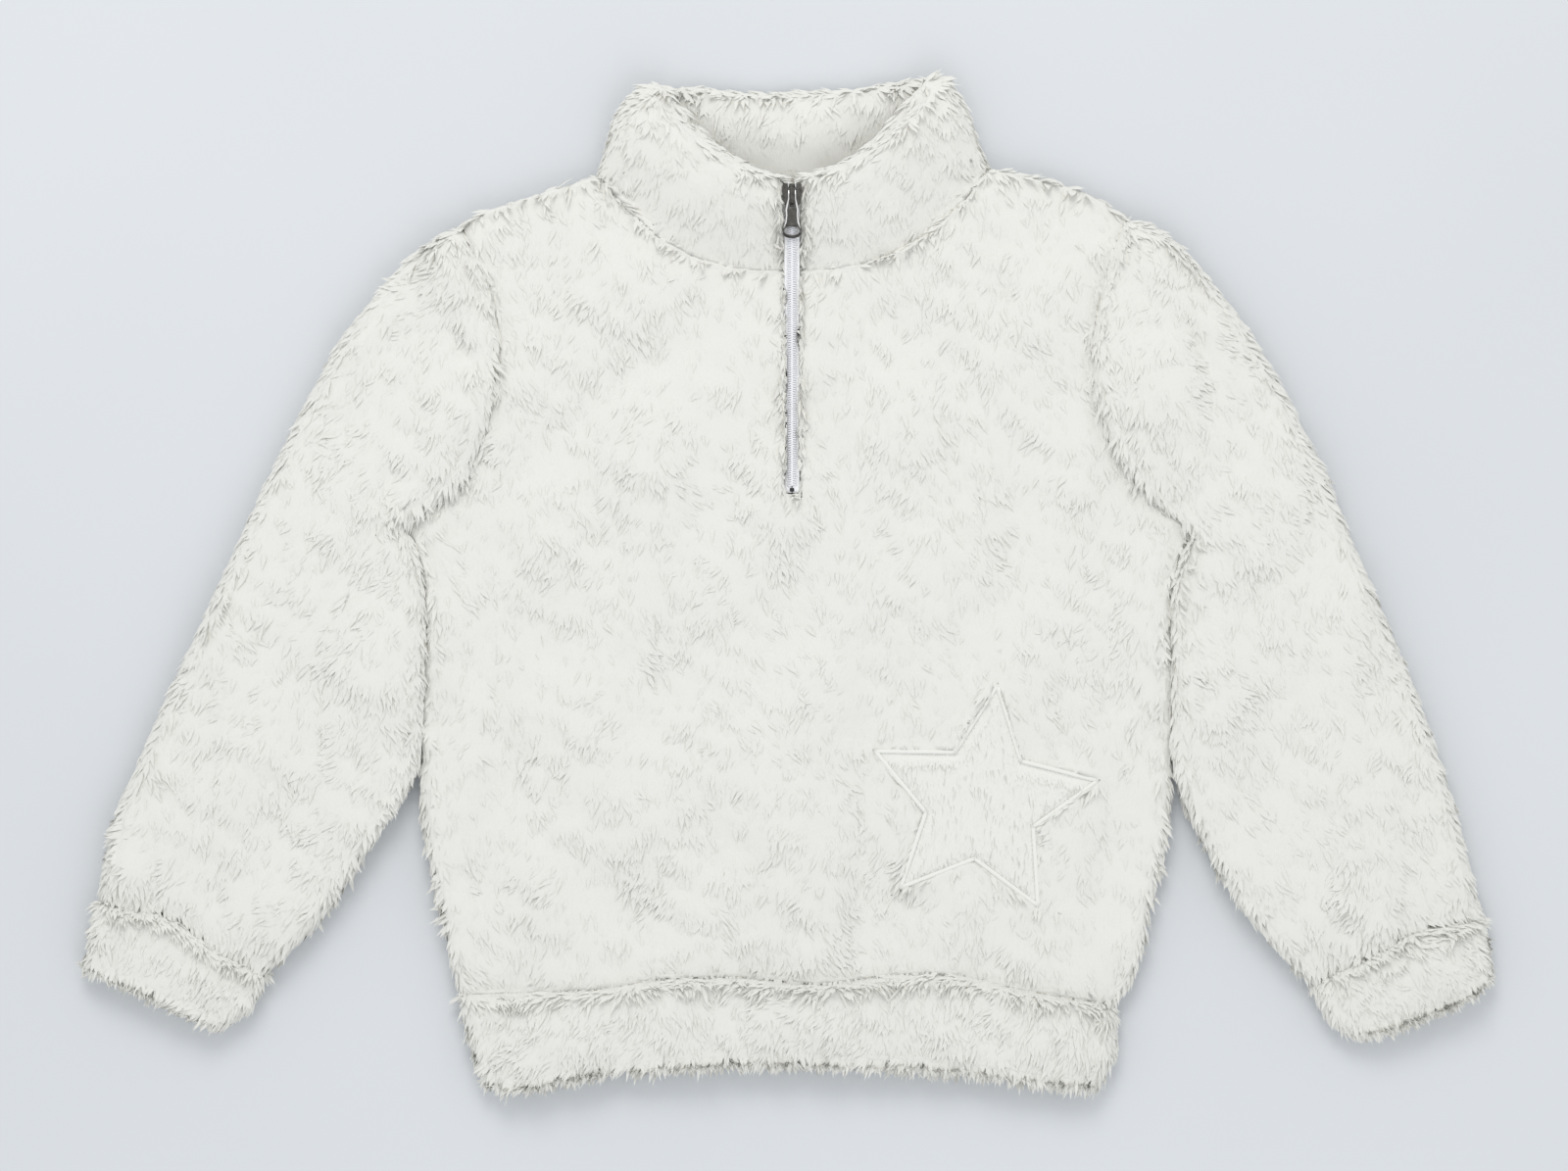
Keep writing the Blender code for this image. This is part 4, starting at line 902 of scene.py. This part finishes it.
TAPE_Y, TAPE_Z = tape_line()
TOOTH_PITCH = 1.35
STOP_REACH = 3.2  # the tapes run on below the bottom stop
TAPE_RISE = 1.6  # the tapes bulge up between the banks of pile
TAPE_THICK = 0.7
TAPE_STEP = 1.6  # length of one row of the tapes' mesh
FLATTEN_Y = 203.0  # from here up, under the slider, the tapes bulge less
FLATTEN_LENGTH = 14.0
SEWING_X = 3.15
SEWING_TOP_Y = 231.0
SEWING_PITCH = 2.4


def tape_rise(y):
    """How far the tapes bulge up: less where the slider closes on them."""
    return TAPE_RISE * (1 - 0.8 * ease((y - FLATTEN_Y) / FLATTEN_LENGTH))


def tape_height(y):
    return np.interp(y, TAPE_Y, TAPE_Z)


def make_tape(side):
    """One woven tape: a thin strip from the coil out under the pile. Side is -1 for the right."""
    across = np.array([0.25, 1.0, 2.0, 2.6, 3.0, 3.7, 4.5])
    up = np.array([1.0, 1.0, 0.99, 0.98, 0.96, 0.9, 0.6])
    top = []
    for y in np.arange(TAPE_Y.min() - STOP_REACH, ZIP_TOP_Y, TAPE_STEP):
        top.append([(ZIP_X + side * a, y, tape_height(y) + u * tape_rise(y)) for a, u in zip(across, up)])
    low = [[(px, py, pz - TAPE_THICK) for px, py, pz in row] for row in top]
    rows = [[*t, *reversed(b)] for t, b in zip(top, low)]
    n = len(rows[0])
    faces = []
    for k in range(len(rows) - 1):
        for j in range(n):
            m = (j + 1) % n
            quad = (k * n + j, k * n + m, (k + 1) * n + m, (k + 1) * n + j)
            faces.append(quad if side > 0 else quad[::-1])
    ends = (tuple(range(n))[::-1], tuple((len(rows) - 1) * n + j for j in range(n)))
    faces += [e if side > 0 else e[::-1] for e in ends]
    return np.array(rows).reshape(-1, 3), faces


def make_coil(side):
    """The coil's turns on one side, each a short nylon bar that meets those of the other side."""
    bars = []
    start = ZIP_LOW_Y + 1.2 + (0.5 * TOOTH_PITCH if side > 0 else 0)
    for y in np.arange(start, ZIP_TOP_Y - 2.0, TOOTH_PITCH):
        z = tape_height(y) + tape_rise(y)
        slant = 0.32
        path = [
            (ZIP_X + side * 2.5, y - slant, z + 0.25),
            (ZIP_X + side * 2.1, y - slant * 0.7, z + 0.75),
            (ZIP_X + side * 0.9, y, z + 0.95),
            (ZIP_X - side * 0.35, y + slant * 0.6, z + 0.85),
            (ZIP_X - side * 0.7, y + slant, z + 0.45),
        ]
        bars.append(sweep(path, (0.34, 0.42, 0.42, 0.46, 0.3), 6))
    return joined(bars)


def tape_stitches(side):
    """The row of sewing that holds the coil on its tape."""
    made = []
    for y in np.arange(ZIP_LOW_Y + 1.0, SEWING_TOP_Y, SEWING_PITCH):
        z = tape_height(y + 0.9) + 0.88 * tape_rise(y)
        x = ZIP_X + side * SEWING_X
        path = [(x, y, z + 0.05), (x, y + 0.5, z + 0.3), (x, y + 1.4, z + 0.3), (x, y + 1.9, z + 0.05)]
        made.append(sweep(path, (0.12, 0.2, 0.2, 0.12), 5))
    return joined(made)


zip_pieces = []
for side, word in ((-1, "right"), (1, "left")):
    tape = mesh_piece(f"zip_tape_{word}_weave", *make_tape(side), TAPE)
    coil = mesh_piece(f"zip_coil_{word}", *make_coil(side), COIL)
    sewing = mesh_piece(f"zip_sewing_{word}", *tape_stitches(side), THREAD)
    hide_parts(f"zip_tape_{word}")
    for piece in (tape, coil, sewing):
        zip_pieces.append(piece)


def refinish(node, material, width):
    """A rigid CAD node keeps its shape: new finish and softened edges."""
    node = frame["nodes"][node]
    for material_slot in node.material_slots:
        material_slot.material = material
    bevel = node.modifiers.new("edges", "BEVEL")
    bevel.width = width * MM
    bevel.segments = 2
    bevel.limit_method = "ANGLE"
    bevel.angle_limit = math.radians(35)
    bevel.harden_normals = True


refinish("zip_slider", SLIDER_METAL, 0.16)
refinish("zip_pull", DARK_METAL, 0.14)
refinish("zip_stop", STOP_BLACK, 0.25)

ZIP_SLOPE = 0.2739  # the zip's slope under the slider, in radians
PULL_LEAN = ZIP_SLOPE + math.radians(2.0)  # the pull's slope at rest: the zip's own, and its tilt
PULL_FACE = 0.55  # the upper face's height over the pull's own plane
PANEL_HALF = (
    (1.9, -11.6), (2.7, -12.4), (2.75, -14.0), (2.6, -16.5), (2.9, -19.0), (3.6, -21.6), (3.3, -22.3)
)
PANEL_RINGS = ((1.0, -0.15), (1.0, 0.05), (0.88, 0.11), (0.5, 0.09))  # each ring's size and rise
BEAD_LINE = (
    (1.9, -0.9), (1.9, -6.0), (2.9, -10.2), (3.35, -12.6), (3.15, -16.0), (3.65, -20.0), (4.9, -23.6)
)
HINGE = np.array(frame["joints"][0]["pos_m"]) / MM


def on_pull(x, y, z):
    """A point given in the pull's own plane, y towards its eye, in the row frame."""
    c, s = math.cos(PULL_LEAN), math.sin(PULL_LEAN)
    return (HINGE[0] + x, HINGE[1] + y * c - z * s, HINGE[2] + y * s + z * c)


def make_panel():
    """The dark sunk panel between the pull's bright rims: a thin plate with a rounded border."""
    outline = [(-x, y) for x, y in PANEL_HALF] + [(x, y) for x, y in reversed(PANEL_HALF)]
    middle = np.mean(outline, axis=0)
    rings = []
    for grow, rise in PANEL_RINGS:
        rings.append([on_pull(*(middle + (np.array(p) - middle) * grow), PULL_FACE + rise) for p in outline])
    n = len(outline)
    faces = [(k * n + j, k * n + (j + 1) % n, (k + 1) * n + (j + 1) % n, (k + 1) * n + j)
             for k in range(3) for j in range(n)]
    faces += [tuple(3 * n + j for j in range(n)), tuple(reversed(range(n)))]
    return mesh_piece("pull_panel", np.vstack(rings), faces, PANEL_METAL, body="pull")


def make_rims():
    """Raised bright beads down both sides of the pull."""
    beads = []
    for side in (-1, 1):
        path = [on_pull(side * x, y, PULL_FACE + 0.05) for x, y in BEAD_LINE]
        beads.append(sweep(path, (0.5, 0.6, 0.62, 0.6, 0.55, 0.6, 0.3), 8, 0.7))
    return mesh_piece("pull_rims", *joined(beads), PULL_METAL, body="pull")


def make_shoulders():
    """Two raised ridges on the slider's body, in line with the pull's arms, in bright metal as painted
    highlights.
    """
    c, s = math.cos(ZIP_SLOPE), math.sin(ZIP_SLOPE)
    ridges = []
    for side in (-1, 1):
        path = [(side * 1.95, y, -1.0) for y in (0.2, 1.4, 2.8, 3.9)]
        path = [(HINGE[0] + x, HINGE[1] + y * c - z * s, HINGE[2] + y * s + z * c) for x, y, z in path]
        ridges.append(sweep(path, (0.45, 0.55, 0.55, 0.3), 8, 0.7))
    return mesh_piece("slider_ridges", *joined(ridges), PULL_METAL)


def make_grip_end():
    """The thick bow at the end of the grip, painted near-black as a dark reflection."""
    turns = np.linspace(math.radians(196), math.radians(344), 19)
    path = [on_pull(5.15 * math.cos(t), -25.5 + 3.45 * math.sin(t), PULL_FACE) for t in turns]
    radii = 0.62 * np.sin(np.linspace(0.35, math.pi - 0.35, 19)) ** 0.5
    return mesh_piece("pull_end", *sweep(path, radii, 8, 0.8), PULL_END_PAINTED_REFLECTION, body="pull")


for piece in (make_panel(), make_rims(), make_grip_end(), make_shoulders()):
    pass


# A sheet's cut: its flat, area and rests


Cut = namedtuple("Cut", "flat area rests")


# Camera, light and floor


FLOOR_HALF = 4.0
FLOOR_LEVEL = -3e-4  # just below the garment, in metres
SKY_STRENGTH = 0.76
KEY_POWER = 20.0
FILL_POWER = 7.5


def make_camera():
    """The photo's view: from straight above, level with the picture."""
    data = bpy.data.cameras.new("camera")
    data.sensor_width = SENSOR
    data.lens = SENSOR * (CAMERA_HEIGHT - CLOTH_LEVEL) / IMAGE_WIDTH
    data.clip_end = 20.0
    camera = bpy.data.objects.new("camera", data)
    camera.location = (IMAGE_CENTRE[0] * MM, IMAGE_CENTRE[1] * MM, CAMERA_HEIGHT * MM)
    bpy.context.scene.collection.objects.link(camera)
    bpy.context.scene.camera = camera


def make_light(name, place, target, size, power, colour):
    data = bpy.data.lights.new(name, "AREA")
    data.shape = "DISK"
    data.size = size
    data.energy = power
    data.color = colour
    light = bpy.data.objects.new(name, data)
    light.location = place
    light.rotation_euler = (Vector(target) - Vector(place)).to_track_quat("-Z", "Y").to_euler()
    bpy.context.scene.collection.objects.link(light)


def make_stage():
    """A plain pale floor, a soft sky and two large lights."""
    mesh = bpy.data.meshes.new("floor")
    corners = [(x * FLOOR_HALF, y * FLOOR_HALF, FLOOR_LEVEL) for x, y in ((-1, -1), (1, -1), (1, 1), (-1, 1))]
    mesh.from_pydata(corners, [], [(0, 1, 2, 3)])
    mesh.materials.append(floor_material())
    floor = bpy.data.objects.new("floor", mesh)
    bpy.context.scene.collection.objects.link(floor)
    world = bpy.data.worlds.new("studio")
    world.use_nodes = True
    sky = world.node_tree.nodes["Background"]
    sky.inputs["Color"].default_value = (0.95, 0.975, 1.0, 1.0)
    sky.inputs["Strength"].default_value = SKY_STRENGTH
    bpy.context.scene.world = world
    make_light("key", (-0.25, 1.7, 1.9), (0, 0, 0), 1.3, KEY_POWER, (1.0, 0.99, 0.97))
    make_light("fill", (0.5, -1.8, 2.0), (0, 0, 0), 1.8, FILL_POWER, (0.97, 0.98, 1.0))
    bpy.context.scene.view_settings.view_transform = "Standard"


make_camera()
make_stage()

for node, (shell, pile) in dressed.items():
    extra = [pile]
    if node == "front":
        extra += zip_pieces
